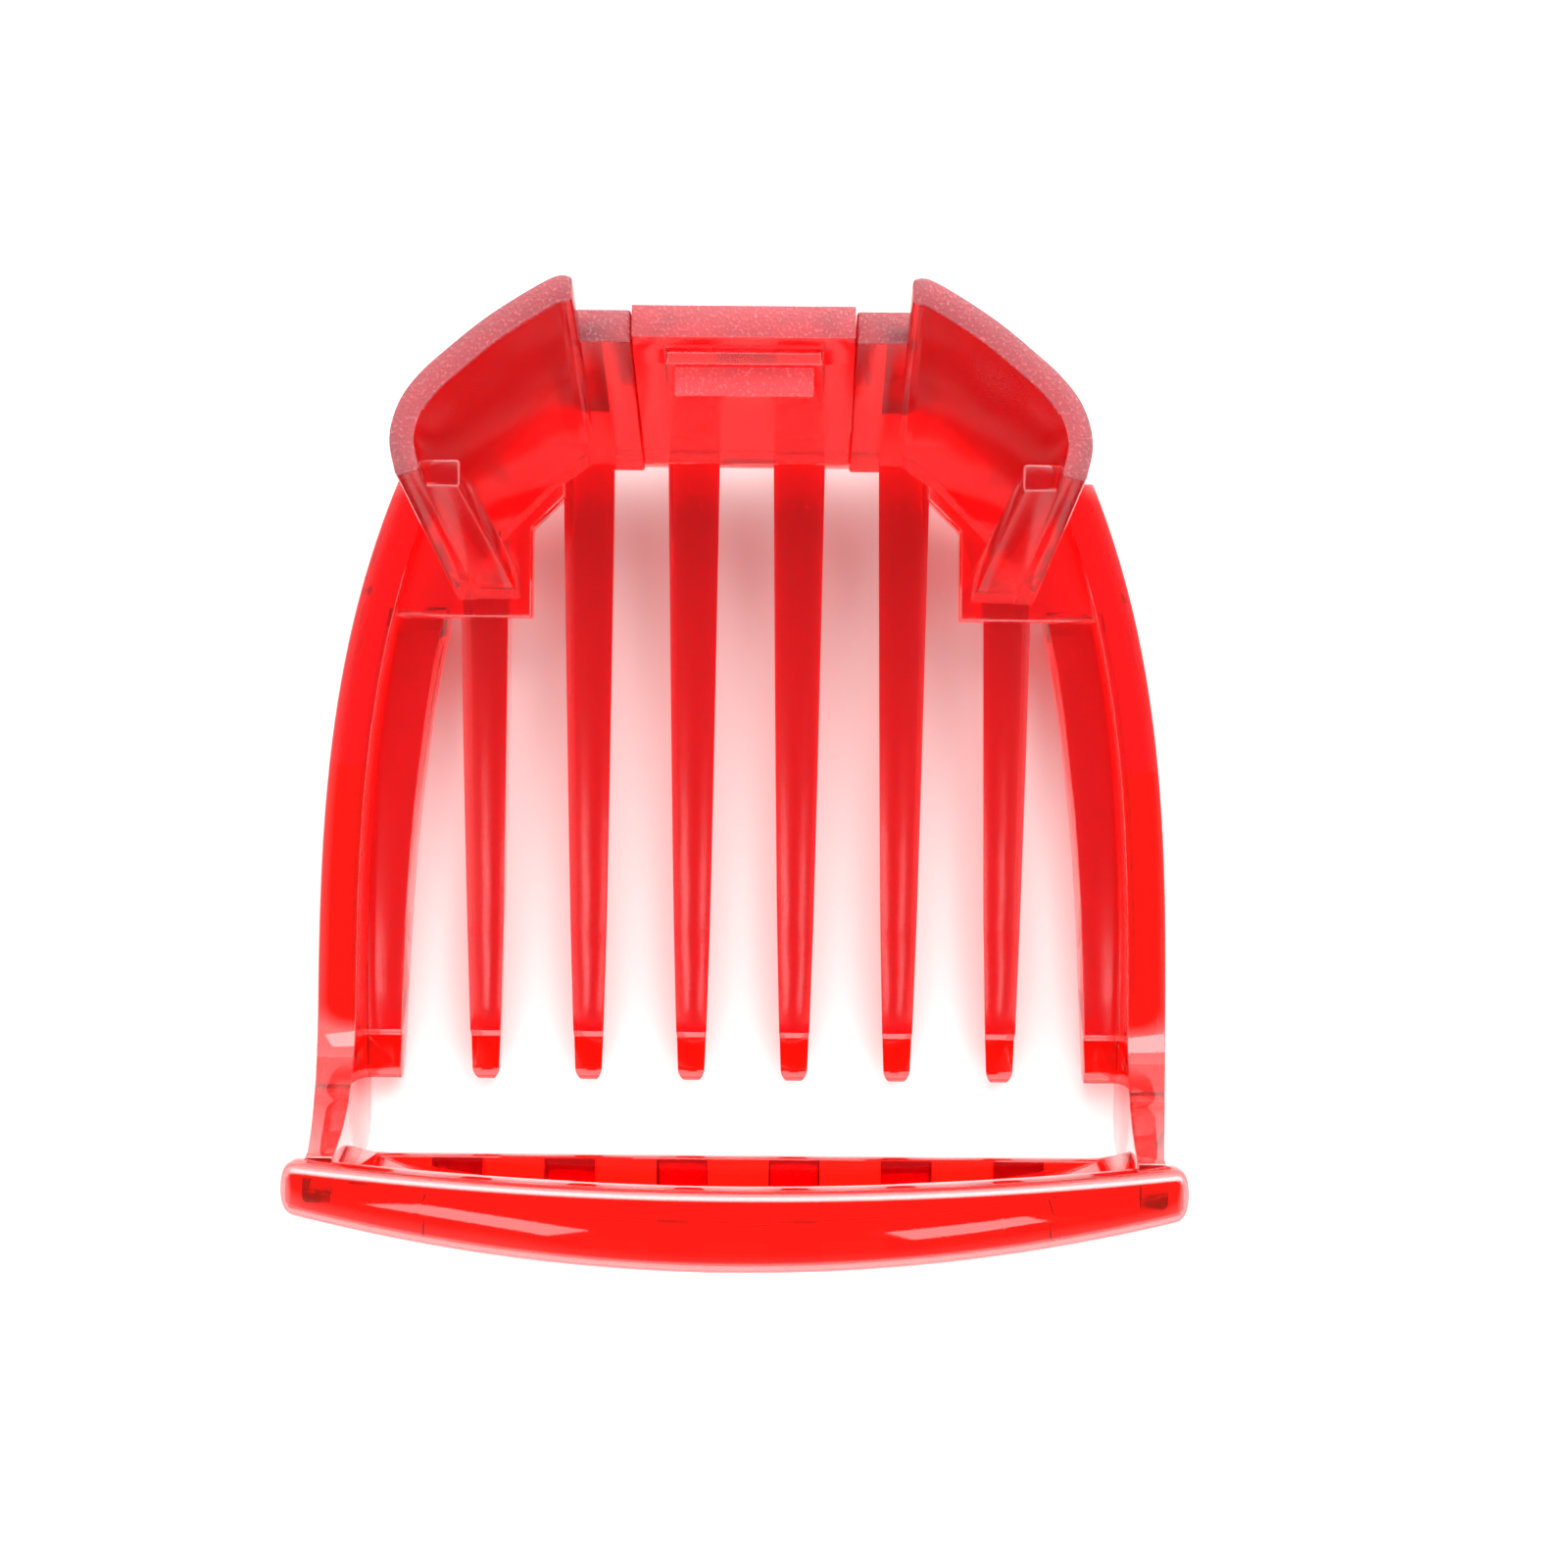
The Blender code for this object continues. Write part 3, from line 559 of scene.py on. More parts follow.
@dataclass
class Teeth:
    """The six free teeth, the two side teeth and the ribs that carry them up the rear."""

    gauge: Gauge
    plastic: bpy.types.Material
    root_width: float = 2.7 * MM
    tip_width: float = 1.4 * MM
    underside: float = 0.8
    taper: float = 0.65
    nose_length: float = 0.6 * MM
    nose_pinch: float = 0.4
    tip_height: float = 1.5 * MM
    tip_lift: float = 0.35 * MM
    tip_step: float = 0.3 * MM
    step_setback: float = 2.4 * MM
    level_length: float = 8.4 * MM
    level_height: float = 2.5 * MM
    heel_y: float = 8.3 * MM
    heel_z: float = 7.0 * MM
    heel_setback: float = 4.8 * MM
    below_floor: float = 0.02 * MM
    sunk: float = 0.5 * MM
    hump_drop: float = 0.9 * MM
    side_width: float = 2.25 * MM
    side_tip_share: float = 0.74
    side_growth: float = 2.0
    side_sunk: float = 0.9 * MM

    def width(self, y: float, z: float) -> float:
        """Width of a free tooth: it narrows to its tip and to its skin side."""
        g = self.gauge
        share = (y - g.tip_y) / (g.root_y - g.tip_y)
        draft = between(self.underside, 1.0, z / self.top(y))
        width = between(self.tip_width, self.root_width, max(share, 0.0) ** self.taper)
        nose = max(1 - (y - g.tip_y) / self.nose_length, 0.0)
        return width * draft * (1 - self.nose_pinch * nose**2)

    def front_outline(self) -> Path:
        """Outline of a tip and its level stretch, from the table round the nose and back."""
        tip = self.gauge.tip_y
        half = self.tip_height / 2
        step_y = tip + self.step_setback
        step_z = self.tip_lift + self.tip_height
        lift = [
            (tip + between(self.level_length, half, i / 5), self.tip_lift * (i / 5) ** 2)
            for i in range(5)
        ]
        return [
            *lift,
            *arc((tip + half, self.tip_lift + half), (half, half), 270, 90, 10),
            (step_y, step_z),
            (step_y + self.tip_step, step_z + self.tip_step),
            (tip + self.level_length, self.level_height),
        ]

    def top(self, y: float) -> float:
        """Height of a tooth's upper edge behind its level stretch."""
        start = self.gauge.tip_y + self.level_length
        share = (y - start) / (self.gauge.root_y - start)
        return between(self.level_height, self.gauge.floor_top, share)

    def heel(self, start_y: float, top_z: float) -> Path:
        """The skin side's sweep from a height down to the table, at the rear."""
        steep = 90.0
        if top_z < self.heel_z:
            steep = np.degrees(np.arccos(1 - top_z / self.heel_z))
        return arc((start_y, self.heel_z), (self.heel_y, self.heel_z), steep - 90, -90, 14)

    def rear_outline(self) -> Path:
        """A tooth that carries on as a rib up the fixed rear wall."""
        g = self.gauge
        rib_top = g.rear_rim - g.rib_drop
        level = g.floor_top - self.below_floor
        return [
            *self.front_outline(),
            (g.root_y + self.sunk, level),
            (g.rear_outer_y(g.floor_top) - self.sunk, level),
            (g.rear_outer_y(rib_top) - self.sunk, rib_top),
            (g.rear_outer_y(rib_top) + g.rib_proud, rib_top),
            *self.heel(g.rear_outer_y(g.floor_top) - self.heel_setback, self.heel_z),
        ]

    def latch_outline(self) -> Path:
        """A tooth under the latch, which stops behind the crossbar."""
        g = self.gauge
        hump = g.floor_top - self.hump_drop
        level = g.floor_top - self.below_floor
        return [
            *self.front_outline(),
            (g.root_y + 0.3 * MM, level),
            (g.bar_back - 0.3 * MM, level),
            (g.bar_back + 0.1 * MM, hump),
            *self.heel(g.rear_outer_y(g.floor_top) - self.heel_setback, hump),
        ]

    def floor_outline(self) -> Path:
        """A tooth that starts at a corner floor and carries on under it."""
        g = self.gauge
        under = g.floor_bottom + 0.4 * MM
        return [
            *self.front_outline(),
            (g.floor_front + 0.5 * MM, self.top(g.floor_front + 0.5 * MM)),
            (g.floor_front + 0.6 * MM, under),
            *self.heel(g.floor_front + 1.5 * MM, under),
        ]

    def side_outline(self) -> Path:
        """A tooth that runs along the foot of a side wall, up to the corner floor."""
        g = self.gauge
        end = g.floor_front + 0.6 * MM
        rear = [(end, g.floor_bottom + 0.3 * MM), (end, 0.6 * MM), (end - MM, 0.0)]
        return [*self.front_outline(), *rear]

    def build(self) -> Solids:
        """Shapes all the teeth.

        Returns:
            One solid for each pair of free teeth, and one for each side tooth.
        """
        g = self.gauge
        solids = []
        outlines = (self.latch_outline(), self.rear_outline(), self.floor_outline())
        cuts = [between(g.tip_y, g.root_y, i / 8) for i in range(1, 8)]
        for step, outline in enumerate(outlines):
            tooth = solid(slab("tooth", outline, self.free_place, cuts, (g.floor_top,)))
            solids.append(row(tooth, self.plastic, 2, (2 * step + 1) * g.pitch))
        side_cuts = [between(g.tip_y, g.floor_front, i / 10) for i in range(1, 10)]
        mesh = slab("side tooth", self.side_outline(), self.side_place, side_cuts)
        solids += both_sides(mesh)
        return solids

    def free_place(self, y: float, z: float, side: int) -> float:
        """Where the faces of a free tooth lie beside its own middle."""
        return side * self.width(y, z) / 2

    def side_place(self, y: float, z: float, side: int) -> float:
        """Where the faces of the right side tooth lie: sunk in the wall, and its free edge."""
        g = self.gauge
        wall = g.side_x(max(y, g.tip_y)) - g.wall
        if side > 0:
            return wall + self.side_sunk
        share = (y - g.tip_y) / (self.side_growth * self.level_length)
        return wall - self.side_width * between(self.side_tip_share, 1.0, share)


@dataclass
class SideFrames:
    """The side walls, each running on smoothly into the arm at its front."""

    gauge: Gauge
    front_round: float = 0.35 * MM
    shoulder_round: float = 1.6 * MM
    round_length: float = 20.0 * MM

    def lines(self) -> tuple[Path, Path]:
        """Side views of the frame's outer edge and its inner edge, from the shoulder to the lip.

        Returns:
            The lower and front edge, and the upper and rear edge, with as many points each.
        """
        g = self.gauge
        low, top, foot = g.wall_bottom, g.wall_top, g.arm_foot
        end = g.lip_outer_y(g.side - g.lip_inset)
        head = end + g.lip_end_depth
        run = [between(g.shoulder_rear, g.arm_start + 3.6 * MM, i / 24) for i in range(24)]
        outer = [
            *near((g.arm_start, low), (3.6, 0.0)),
            *near((g.arm_start, foot), (0.6, 0.25), (-2.4, 0.02)),
            *near((end, foot), (1.6, 0.02), (0.5, 0.5), (0.05, 1.9)),
            (end, top),
            *near((end, g.hoop_bottom), (0.05, 0.0)),
            *near((end, g.lip_bottom), (0.35, 0.4)),
        ]
        inner = [
            *near((g.arm_start, top), (3.6, 0.0), (1.4, 0.1), (-0.2, 0.6)),
            *near((g.arm_start, top), (-1.2, 1.6), (-1.9, 2.8), (-2.4, 4.1)),
            *near((head, g.hoop_bottom), (1.1, 0.0), (0.45, 3.1)),
            *near((head, g.lip_bottom), (0.0, 0.4)),
        ]
        return (
            [(y, low) for y in run] + smooth_path(outer),
            [(y, top) for y in run] + smooth_path(inner),
        )

    def ring(self, outer: Point2, inner: Point2) -> list[Point3]:
        """One section through the right frame, with its outer lower edge rounded off.

        Args:
            outer: Where the section starts, as (y, z).
            inner: Where it ends.

        Returns:
            The section's corners.
        """
        g = self.gauge
        share = (outer[0] - g.shoulder_rear + self.round_length) / self.round_length
        radius = between(self.front_round, self.shoulder_round, max(share, 0.0))
        start, finish = Vector(outer), Vector(inner)
        length = (finish - start).length
        face = [g.side_x(y) + g.arm_outer_x(z) - g.side for y, z in (outer, inner)]
        back = [x - g.arm_wall(z) for x, (_, z) in zip(face, (outer, inner))]
        points = [(face[1], *inner)]
        for depth, height in arc((1.0, 1.0), (1.0, 1.0), 180, 270, 4):
            along = start.lerp(finish, height * radius / length)
            x = between(face[0], face[1], height * radius / length) - depth * radius
            points.append((x, *along))
        return [*points, (back[0], *outer), (back[1], *inner)]

    def build(self) -> Solids:
        """Shapes the right and the left frame."""
        outer, inner = self.lines()
        rings = [self.ring(a, b) for a, b in zip(outer, inner)]
        return both_sides(loft("side frame", rings), 0.3 * MM, 4)


@dataclass
class Cradle:
    """The floor, the fixed rear wall, the flared wings and their struts."""

    gauge: Gauge
    wing_wall: float = 1.15 * MM
    wing_inset: float = 5.95 * MM
    corner_depth: float = 3.4 * MM
    strut_depth: float = 1.3 * MM
    strut_foot: float = 2.2 * MM
    strut_head: float = 1.5 * MM
    strut_drop: float = 1.8 * MM

    def floor(self) -> Solids:
        """The crossbar and the two corner floors."""
        g = self.gauge
        inner = 1.5 * g.pitch + 1.2 * MM
        low, high = g.floor_bottom, g.floor_top
        half = inner + 0.6 * MM
        outline = [(g.root_y, low), (g.root_y, high), (g.bar_back, high), (g.bar_back, low)]
        bar = across((-half, half), outline)
        edge = 2 * g.pitch + 0.2 * MM
        shoulder = [between(g.floor_front, g.shoulder_rear, i / 10) for i in range(11)]
        plan = [
            (inner, g.bar_back - 0.01 * MM),
            (inner, g.root_y - self.corner_depth / 2),
            (edge, g.root_y - self.corner_depth),
            (edge, g.floor_front),
            *((g.side_x(y) - g.wall + 0.6 * MM, y) for y in shoulder),
            (g.side_x(g.shoulder_rear) - g.wall - 1.2 * MM, g.shoulder_rear + 1.3 * MM),
        ]
        rings = [[(x, y, z) for x, y in plan] for z in (low + 0.01 * MM, high - 0.01 * MM)]
        plate = loft("corner floor", rings)
        return [solid(loft("crossbar", bar), 0.1 * MM), *both_sides(plate)]

    def flanks(self) -> Solids:
        """The fixed rear wall on each side of the tongue."""
        g = self.gauge
        foot, top = g.floor_top - 0.8 * MM, g.rear_rim - 0.35 * MM
        outline = [
            (g.rear_inner_y(foot), foot),
            (g.rear_inner_y(top), top),
            (g.rear_outer_y(top), top),
            (g.rear_outer_y(foot), foot),
        ]
        rings = across((g.flank_inner, g.fold_x + 0.45 * MM), outline)
        return both_sides(loft("rear flank", rings))

    def wing_paths(self) -> tuple[Path, Path]:
        """A right wing's inner foot and outer rim in plan.

        Returns:
            The two paths, with the same number of points.
        """
        g = self.gauge
        middle = 2 * g.pitch
        widest = g.side - self.wing_inset
        foot = [
            *near((g.fold_x, g.root_y), (0.0, 0.0), (0.9, -0.7)),
            *near((middle, g.root_y), (-1.2, -1.5)),
            *near((middle, g.root_y - self.corner_depth), (0.2, 0.5)),
            *near((middle, g.root_y), (1.4, -4.1), (2.4, -5.2), (2.9, -6.2)),
            *near((middle, g.floor_front), (2.9, 0.7)),
        ]
        rim = [
            *near((g.fold_x, g.rear), (0.0, -0.05), (1.0, -0.15)),
            *near((widest, g.rear), (-4.6, -1.8), (-2.6, -3.4), (-1.3, -4.6)),
            *near((widest, g.rear), (-0.4, -5.9), (0.0, -7.5), (-0.3, -9.2)),
        ]
        return smooth_path(foot), smooth_path(rim)

    def beside(self, path: Sequence[Point2], distance: float) -> Path:
        """The other face of a wing beside a path, which never doubles back near the fold.

        Args:
            path: The wing's foot or rim, from the fold to its front end.
            distance: How far the other face lies to the left of it.

        Returns:
            The other face's points, as many as there were.
        """
        moved = offset_path(path, distance)
        made = [(path[0][0], moved[0][1])]
        for i, (x, y) in enumerate(moved[1:], 1):
            if i < len(path) * 0.6:
                x = max(x, made[-1][0] + 0.05 * MM)
                y = min(y, made[-1][1] - 0.01 * MM)
            made.append((x, y))
        return made

    def wings(self) -> Solids:
        """The two flared wings with the flange inside each front end."""
        g = self.gauge
        foot, rim = self.wing_paths()
        foot_outer = self.beside(foot, self.wing_wall)
        rim_inner = self.beside(rim, -self.wing_wall)
        low = g.floor_top - 0.7 * MM
        rings = [
            [(*a, low), (*b, g.height), (*c, g.height), (*d, low)]
            for a, b, c, d in zip(foot, rim_inner, rim, foot_outer)
        ]
        wing = loft("wing", rings)
        strut = self.strut(foot[-1], rim_inner[-1])
        return [*both_sides(wing, 0.22 * MM), *both_sides(strut, 0.18 * MM)]

    def strut(self, wall_foot: Point2, wall_rim: Point2) -> Mesh:
        """The flange inside the right wing's front end, sunk a little into the wing."""
        g = self.gauge
        low, top = g.floor_top - 0.7 * MM, g.height - self.strut_drop
        share = (top - g.floor_top) / (g.height - g.floor_top)
        sunk = 0.35 * MM
        rings = []
        for z, width, along in ((low, self.strut_foot, 0.0), (top, self.strut_head, share)):
            x = between(wall_foot[0], wall_rim[0], along) + sunk
            y = between(wall_foot[1], wall_rim[1], along) + 0.05 * MM
            corners = (
                (x - width - sunk, y),
                (x, y),
                (x, y + self.strut_depth),
                (x - width - sunk, y + self.strut_depth),
            )
            rings.append([(px, py, z) for px, py in corners])
        return loft("wing strut", rings)

    def build(self) -> Solids:
        """Shapes the whole cradle."""
        return [*self.floor(), *self.flanks(), *self.wings()]


@dataclass
class FrontHoop:
    """The hoop wall between the arms, the finger lip on top, its ribs and its pips."""

    gauge: Gauge
    plastic: bpy.types.Material
    wall: float = 1.0 * MM
    middle_tuck: float = 1.6 * MM
    end_tuck: float = 0.3 * MM
    rib_inset: float = 0.3 * MM
    edge_round: float = 0.6 * MM
    end_round: float = 0.55 * MM
    ledge: float = 1.2 * MM
    ledge_y: float = -18.75 * MM
    rib_width: float = 2.5 * MM
    rib_depth: float = 2.4 * MM
    rib_count: int = 6
    pip_radius: float = 0.6 * MM
    pip_place: float = 17.3 * MM

    def wall_y(self, x: float) -> float:
        """Inner face of the hoop's wall across the comb: further under the lip in the middle."""
        g = self.gauge
        share = (x / (g.side - g.lip_inset)) ** 2
        return g.lip_inner_y(x) - between(self.middle_tuck, self.end_tuck, share)

    def hoop(self) -> Solids:
        """The wall, bowed like the lip, and the straight-edged ledge at its foot."""
        g = self.gauge
        low, top = g.hoop_bottom, g.lip_bottom + 0.4 * MM
        foot_half = g.arm_outer_x(low) - g.arm_wall(low) + 0.4 * MM
        head_half = g.arm_outer_x(top) - g.arm_wall(top) + 0.4 * MM
        wall, ledge = [], []
        shares = {i / 20 for i in range(-20, 21)}
        for i in range(2 * self.rib_count):
            rib_x = (i // 2 - (self.rib_count - 1) / 2) * g.pitch
            shares.add((rib_x + (i % 2 - 0.5) * self.rib_width) / foot_half)
        for share in sorted(shares):
            foot_x, head_x = share * foot_half, share * head_half
            inner = self.wall_y(foot_x)
            head = self.wall_y(head_x)
            feet = [(foot_x, y, low + 0.1 * MM) for y in (inner, inner - self.wall)]
            heads = [(head_x, y, top) for y in (head, head - self.wall)]
            wall.append([feet[0], *heads, feet[1]])
            back, high = inner - self.wall - 0.05 * MM, low + self.ledge
            corners = [(self.ledge_y, low), (self.ledge_y, high), (back, high), (back, low)]
            ledge += across((foot_x,), corners)
        return [solid(loft("hoop wall", wall)), solid(loft("hoop ledge", ledge))]

    def lip_section(self, x: float) -> list[Point3]:
        """One rounded section of the lip at a place across the comb."""
        g = self.gauge
        half = g.side - g.lip_inset
        past = max(abs(x) - half + self.end_round, 0.0)
        pinch = self.end_round - (self.end_round**2 - past**2) ** 0.5
        front, back = g.lip_outer_y(x) + pinch, g.lip_inner_y(x) - pinch
        low, high = g.lip_bottom + 0.35 * pinch, g.height - 0.35 * pinch
        r = min(self.edge_round, 0.49 * (back - front), 0.49 * (high - low))
        lower = 0.5 * r
        points = arc((front + r, high - r), (r, r), 180, 90, 6)
        points += arc((back - r, high - r), (r, r), 90, 0, 6)
        points += arc((back - lower, low + lower), (lower, lower), 0, -90, 4)
        points += arc((front + lower, low + lower), (lower, lower), -90, -180, 4)
        return [(x, y, z) for y, z in points]

    def lip(self) -> Solid:
        """The bowed finger lip, with full round edges and ends."""
        g = self.gauge
        half = g.side - g.lip_inset
        straight = half - self.end_round
        run = [between(-straight, straight, i / 60) for i in range(61)]
        turn = [straight + self.end_round * sin(radians(a)) for a in (15, 30, 45, 60, 74, 84)]
        places = [-x for x in reversed(turn)] + run + turn
        return placed(loft("lip", [self.lip_section(x) for x in places]))

    def ribs(self) -> Solid:
        """The tapered ribs that brace the ledge and the lip, in line with the teeth."""
        g = self.gauge
        start = self.ledge_y - 0.1 * MM
        depth = start - g.lip_outer_y(0.0) - self.rib_inset
        back = start - self.wall_y(0.0) + self.wall
        outline = [
            (0.0, g.hoop_bottom + 0.3 * MM),
            (0.6 * MM - back, g.hoop_bottom + 0.3 * MM),
            (0.6 * MM - back, g.lip_bottom + 0.5 * MM),
            (-depth, g.lip_bottom + 0.5 * MM),
            (-depth, g.lip_bottom - 0.3 * MM),
            (-0.1 * MM - back, g.hoop_bottom - self.rib_depth),
            (0.0, g.hoop_bottom - 0.1 * MM),
        ]
        end_x = (self.rib_count - 1) / 2 * g.pitch
        end_depth = start - g.lip_outer_y(end_x) - self.rib_inset
        slimming = (1 - end_depth / depth) / end_x**2
        rib = solid(slab("hoop rib", outline, flat_sides(0.0, self.rib_width)), 0.12 * MM)
        return row(rib, self.plastic, self.rib_count, g.pitch, start, slimming)

    def pips(self) -> Solids:
        """The small studs under the lip's ends."""
        g = self.gauge
        made = []
        for sign in (-1, 1):
            shape = bmesh.new()
            bmesh.ops.create_uvsphere(shape, u_segments=20, v_segments=12, radius=self.pip_radius)
            place = Vector((sign * self.pip_place, 0.0, g.lip_bottom - 0.75 * self.pip_radius))
            place.y = g.lip_outer_y(self.pip_place) + self.pip_radius / 3
            for vert in shape.verts:
                vert.co += place
            made.append(placed(to_mesh("pip", shape)))
        return made

    def build(self) -> Solids:
        """Shapes the whole front."""
        return [*self.hoop(), self.lip(), self.ribs(), *self.pips()]


@dataclass
class Latch:
    """The sprung tongue with its pocket, catch and back ribs."""

    gauge: Gauge
    catch_half: float = 3.4 * MM
    catch_depth: float = 1.4 * MM
    catch_height: float = 1.3 * MM
    catch_drop: float = 2.5 * MM
    pocket: float = 0.5 * MM
    rib_width: float = 2.4 * MM
    rib_foot: float = 1.25 * MM
    rib_swell: float = 7.0 * MM
    root_gap: float = 0.03 * MM

    def tongue(self) -> Solid:
        """The leaning tongue, thinner in the pocket above the catch."""
        g = self.gauge
        foot, top = g.floor_top + self.root_gap, g.rear_rim
        catch_top = top - self.catch_drop
        steps = (
            (foot, 0.0),
            (catch_top + 0.25 * MM, 0.0),
            (catch_top + 0.35 * MM, self.pocket),
            (catch_top + 1.4 * MM, self.pocket),
            (catch_top + 1.55 * MM, 0.0),
            (top, 0.0),
        )
        rings = []
        half = [
            (self.catch_half + 0.3 * MM, 1.0),
            (self.catch_half + 0.4 * MM, 0.0),
            (g.tongue_half, 0.0),
        ]
        for x, sunk in [*((-x, sunk) for x, sunk in reversed(half)), *half]:
            inner = [(x, g.rear_inner_y(z) + depth * sunk, z) for z, depth in steps]
            outer = [(x, g.rear_outer_y(top), top), (x, g.rear_outer_y(foot), foot)]
            rings.append([*inner, *outer])
        return solid(loft("tongue", rings), 0.12 * MM)

    def catch(self) -> Solid:
        """The hook that snaps over the clipper's ridge."""
        g = self.gauge
        top = g.rear_rim - self.catch_drop
        foot = top - self.catch_height
        outline = [
            (g.rear_inner_y(foot) + 0.3 * MM, foot),
            (g.rear_inner_y(top) + 0.3 * MM, top),
            (g.rear_inner_y(top) - self.catch_depth, top),
            (g.rear_inner_y(top) - self.catch_depth, top - 0.5 * MM),
        ]
        rings = across((-self.catch_half, self.catch_half), outline)
        return solid(loft("catch", rings), 0.1 * MM)

    def ribs(self) -> Solids:
        """The two ribs on the tongue's back, in line with the middle teeth."""
        g = self.gauge
        foot, top = g.floor_top + self.rib_foot, g.rear_rim - g.rib_drop
        outline = [
            (g.rear_outer_y(foot) - 0.4 * MM, foot),
            (g.rear_outer_y(top) - 0.4 * MM, top),
            (g.rear_outer_y(top) + g.rib_proud, top),
            (g.rear_outer_y(self.rib_swell) + 2.15 * MM, self.rib_swell),
            (g.rear_outer_y(foot) + 1.85 * MM, foot),
        ]
        sides = flat_sides(g.pitch / 2, self.rib_width)
        return both_sides(slab("latch rib", outline, sides))

    def build(self) -> Solids:
        """Shapes the whole latch."""
        return [self.tongue(), self.catch(), *self.ribs()]


# ---- Finishes ----


@dataclass(frozen=True)
class ClearRed:
    """Clear red plastic. Each table has one entry for each member of Surface, in order.

    The edge gloss is a coat that stands in for the bright rim of light round the lip.
    """

    name: str = "clear red plastic"
    tints: tuple[Point3, ...] = (
        (1.0, 0.03, 0.015),
        (1.0, 0.05, 0.04),
        (0.98, 0.02, 0.03),
        # Painted shade: the dark tint on the ledge over each hoop rib.
        (0.10, 0.0, 0.005),
        (0.62, 0.07, 0.14),
    )
    roughnesses: tuple[float, ...] = (0.03, 0.2, 0.14, 0.08, 0.5)
    edge_gloss: tuple[float, ...] = (0.0, 1.0, 0.0, 0.0, 0.0)
    edge_refraction: float = 1.6
    edge_roughness: float = 0.3
    # Strength of the grain's bumps, and of the painted glints on it, for each finish.
    grain_and_glint_strengths: tuple[float, ...] = (0.0, 0.0, 0.05, 0.0, 1.0)
    # Painted glints: the pale tint of the spots where the grain stands high.
    glint_tint: Point3 = (1.0, 0.42, 0.52)
    glint_start: float = 0.56
    glint_end: float = 0.70
    depth_colour: Point3 = (0.985, 0.2, 0.1)
    depth_density: float = 1800.0
    clarity: float = 0.93
    refraction: float = 1.53
    grain_size: float = 0.16 * MM
    grain_height: float = 0.03 * MM
    ripple_size: float = 7.0 * MM
    ripple_height: float = 0.03 * MM

    def material(self) -> bpy.types.Material:
        """Builds the plastic.

        Returns:
            A new material, which reads the body's "finish" attribute.
        """
        material = bpy.data.materials.new(self.name)
        material.use_nodes = True
        nodes = material.node_tree.nodes
        shader = nodes["Principled BSDF"]
        wiring = Wiring(material.node_tree)
        depth = wiring.add(
            "ShaderNodeVolumeAbsorption",
            {"Color": (*self.depth_colour, 1.0), "Density": self.depth_density},
        )
        wiring.feed(nodes["Material Output"], {"Volume": depth.outputs["Volume"]})
        where = wiring.add("ShaderNodeTexCoord").outputs["Object"]
        ripple = self.noise(wiring, where, self.ripple_size, 1.0)
        grain = self.noise(wiring, where, self.grain_size, 2.0)
        finish = wiring.add("ShaderNodeAttribute")
        finish.attribute_name = "finish"
        look = finish.outputs["Fac"]
        strength = self.by_surface(wiring, look, self.grain_and_glint_strengths)
        rippled = wiring.add("ShaderNodeBump", {"Distance": self.ripple_height, "Height": ripple})
        grained = wiring.add(
            "ShaderNodeBump",
            {
                "Strength": strength,
                "Distance": self.grain_height,
                "Height": grain,
                "Normal": rippled.outputs["Normal"],
            },
        )
        wiring.feed(
            shader,
            {
                "Base Color": self.colour(wiring, look, grain, strength),
                "Roughness": self.by_surface(wiring, look, self.roughnesses),
                "IOR": self.refraction,
                "Transmission Weight": self.clarity,
                "Coat Weight": self.by_surface(wiring, look, self.edge_gloss),
                "Coat Roughness": self.edge_roughness,
                "Coat IOR": self.edge_refraction,
                "Normal": grained.outputs["Normal"],
            },
        )
        return material

    def colour(self, wiring: Wiring, look: Socket, grain: Socket, strength: Socket) -> Socket:
        """The tint of each finish, with painted glints: pale spots where its grain stands high.

        Args:
            wiring: The material's tree.
            look: The body's finish.
            grain: The grain's height.
            strength: How strong the grain and its painted glints are on each finish.

        Returns:
            The colour.
        """
        glints = wiring.add(
            "ShaderNodeMapRange",
            {"Value": grain, "From Min": self.glint_start, "From Max": self.glint_end},
        )
        mixed = wiring.add("ShaderNodeMix")
        mixed.data_type = "RGBA"
        amount = wiring.maths("MULTIPLY", glints.outputs["Result"], strength)
        tint = self.by_surface(wiring, look, self.tints)
        wiring.feed(mixed, {"Factor": amount, "A": tint, "B": (*self.glint_tint, 1.0)})
        return mixed.outputs["Result"]

    def by_surface(
        self,
        wiring: Wiring,
        look: Socket,
        values: Sequence[Point3] | Sequence[float],
    ) -> Socket:
        """A look-up of one value or colour for each surface finish.

        Args:
            wiring: The material's tree.
            look: The body's finish.
            values: A number or a colour for each member of Surface, in order.

        Returns:
            The looked-up value.
        """
        node = wiring.add("ShaderNodeValToRGB", {"Fac": look})
        elements = node.color_ramp.elements
        while len(elements) < len(values):
            elements.new(0.5)
        for element, surface, value in zip(elements, Surface, values):
            element.position = surface.value
            colour = value if isinstance(value, tuple) else (value,) * 3
            element.color = (*colour, 1.0)
        return node.outputs["Color"]

    def noise(self, wiring: Wiring, where: Socket, size: float, detail: float) -> Socket:
        """A noise of a given grain size over the body, in metres, with its detail."""
        values = {"Vector": where, "Scale": 1 / size, "Detail": detail}
        return wiring.add("ShaderNodeTexNoise", values).outputs["Fac"]


# ---- The comb ----


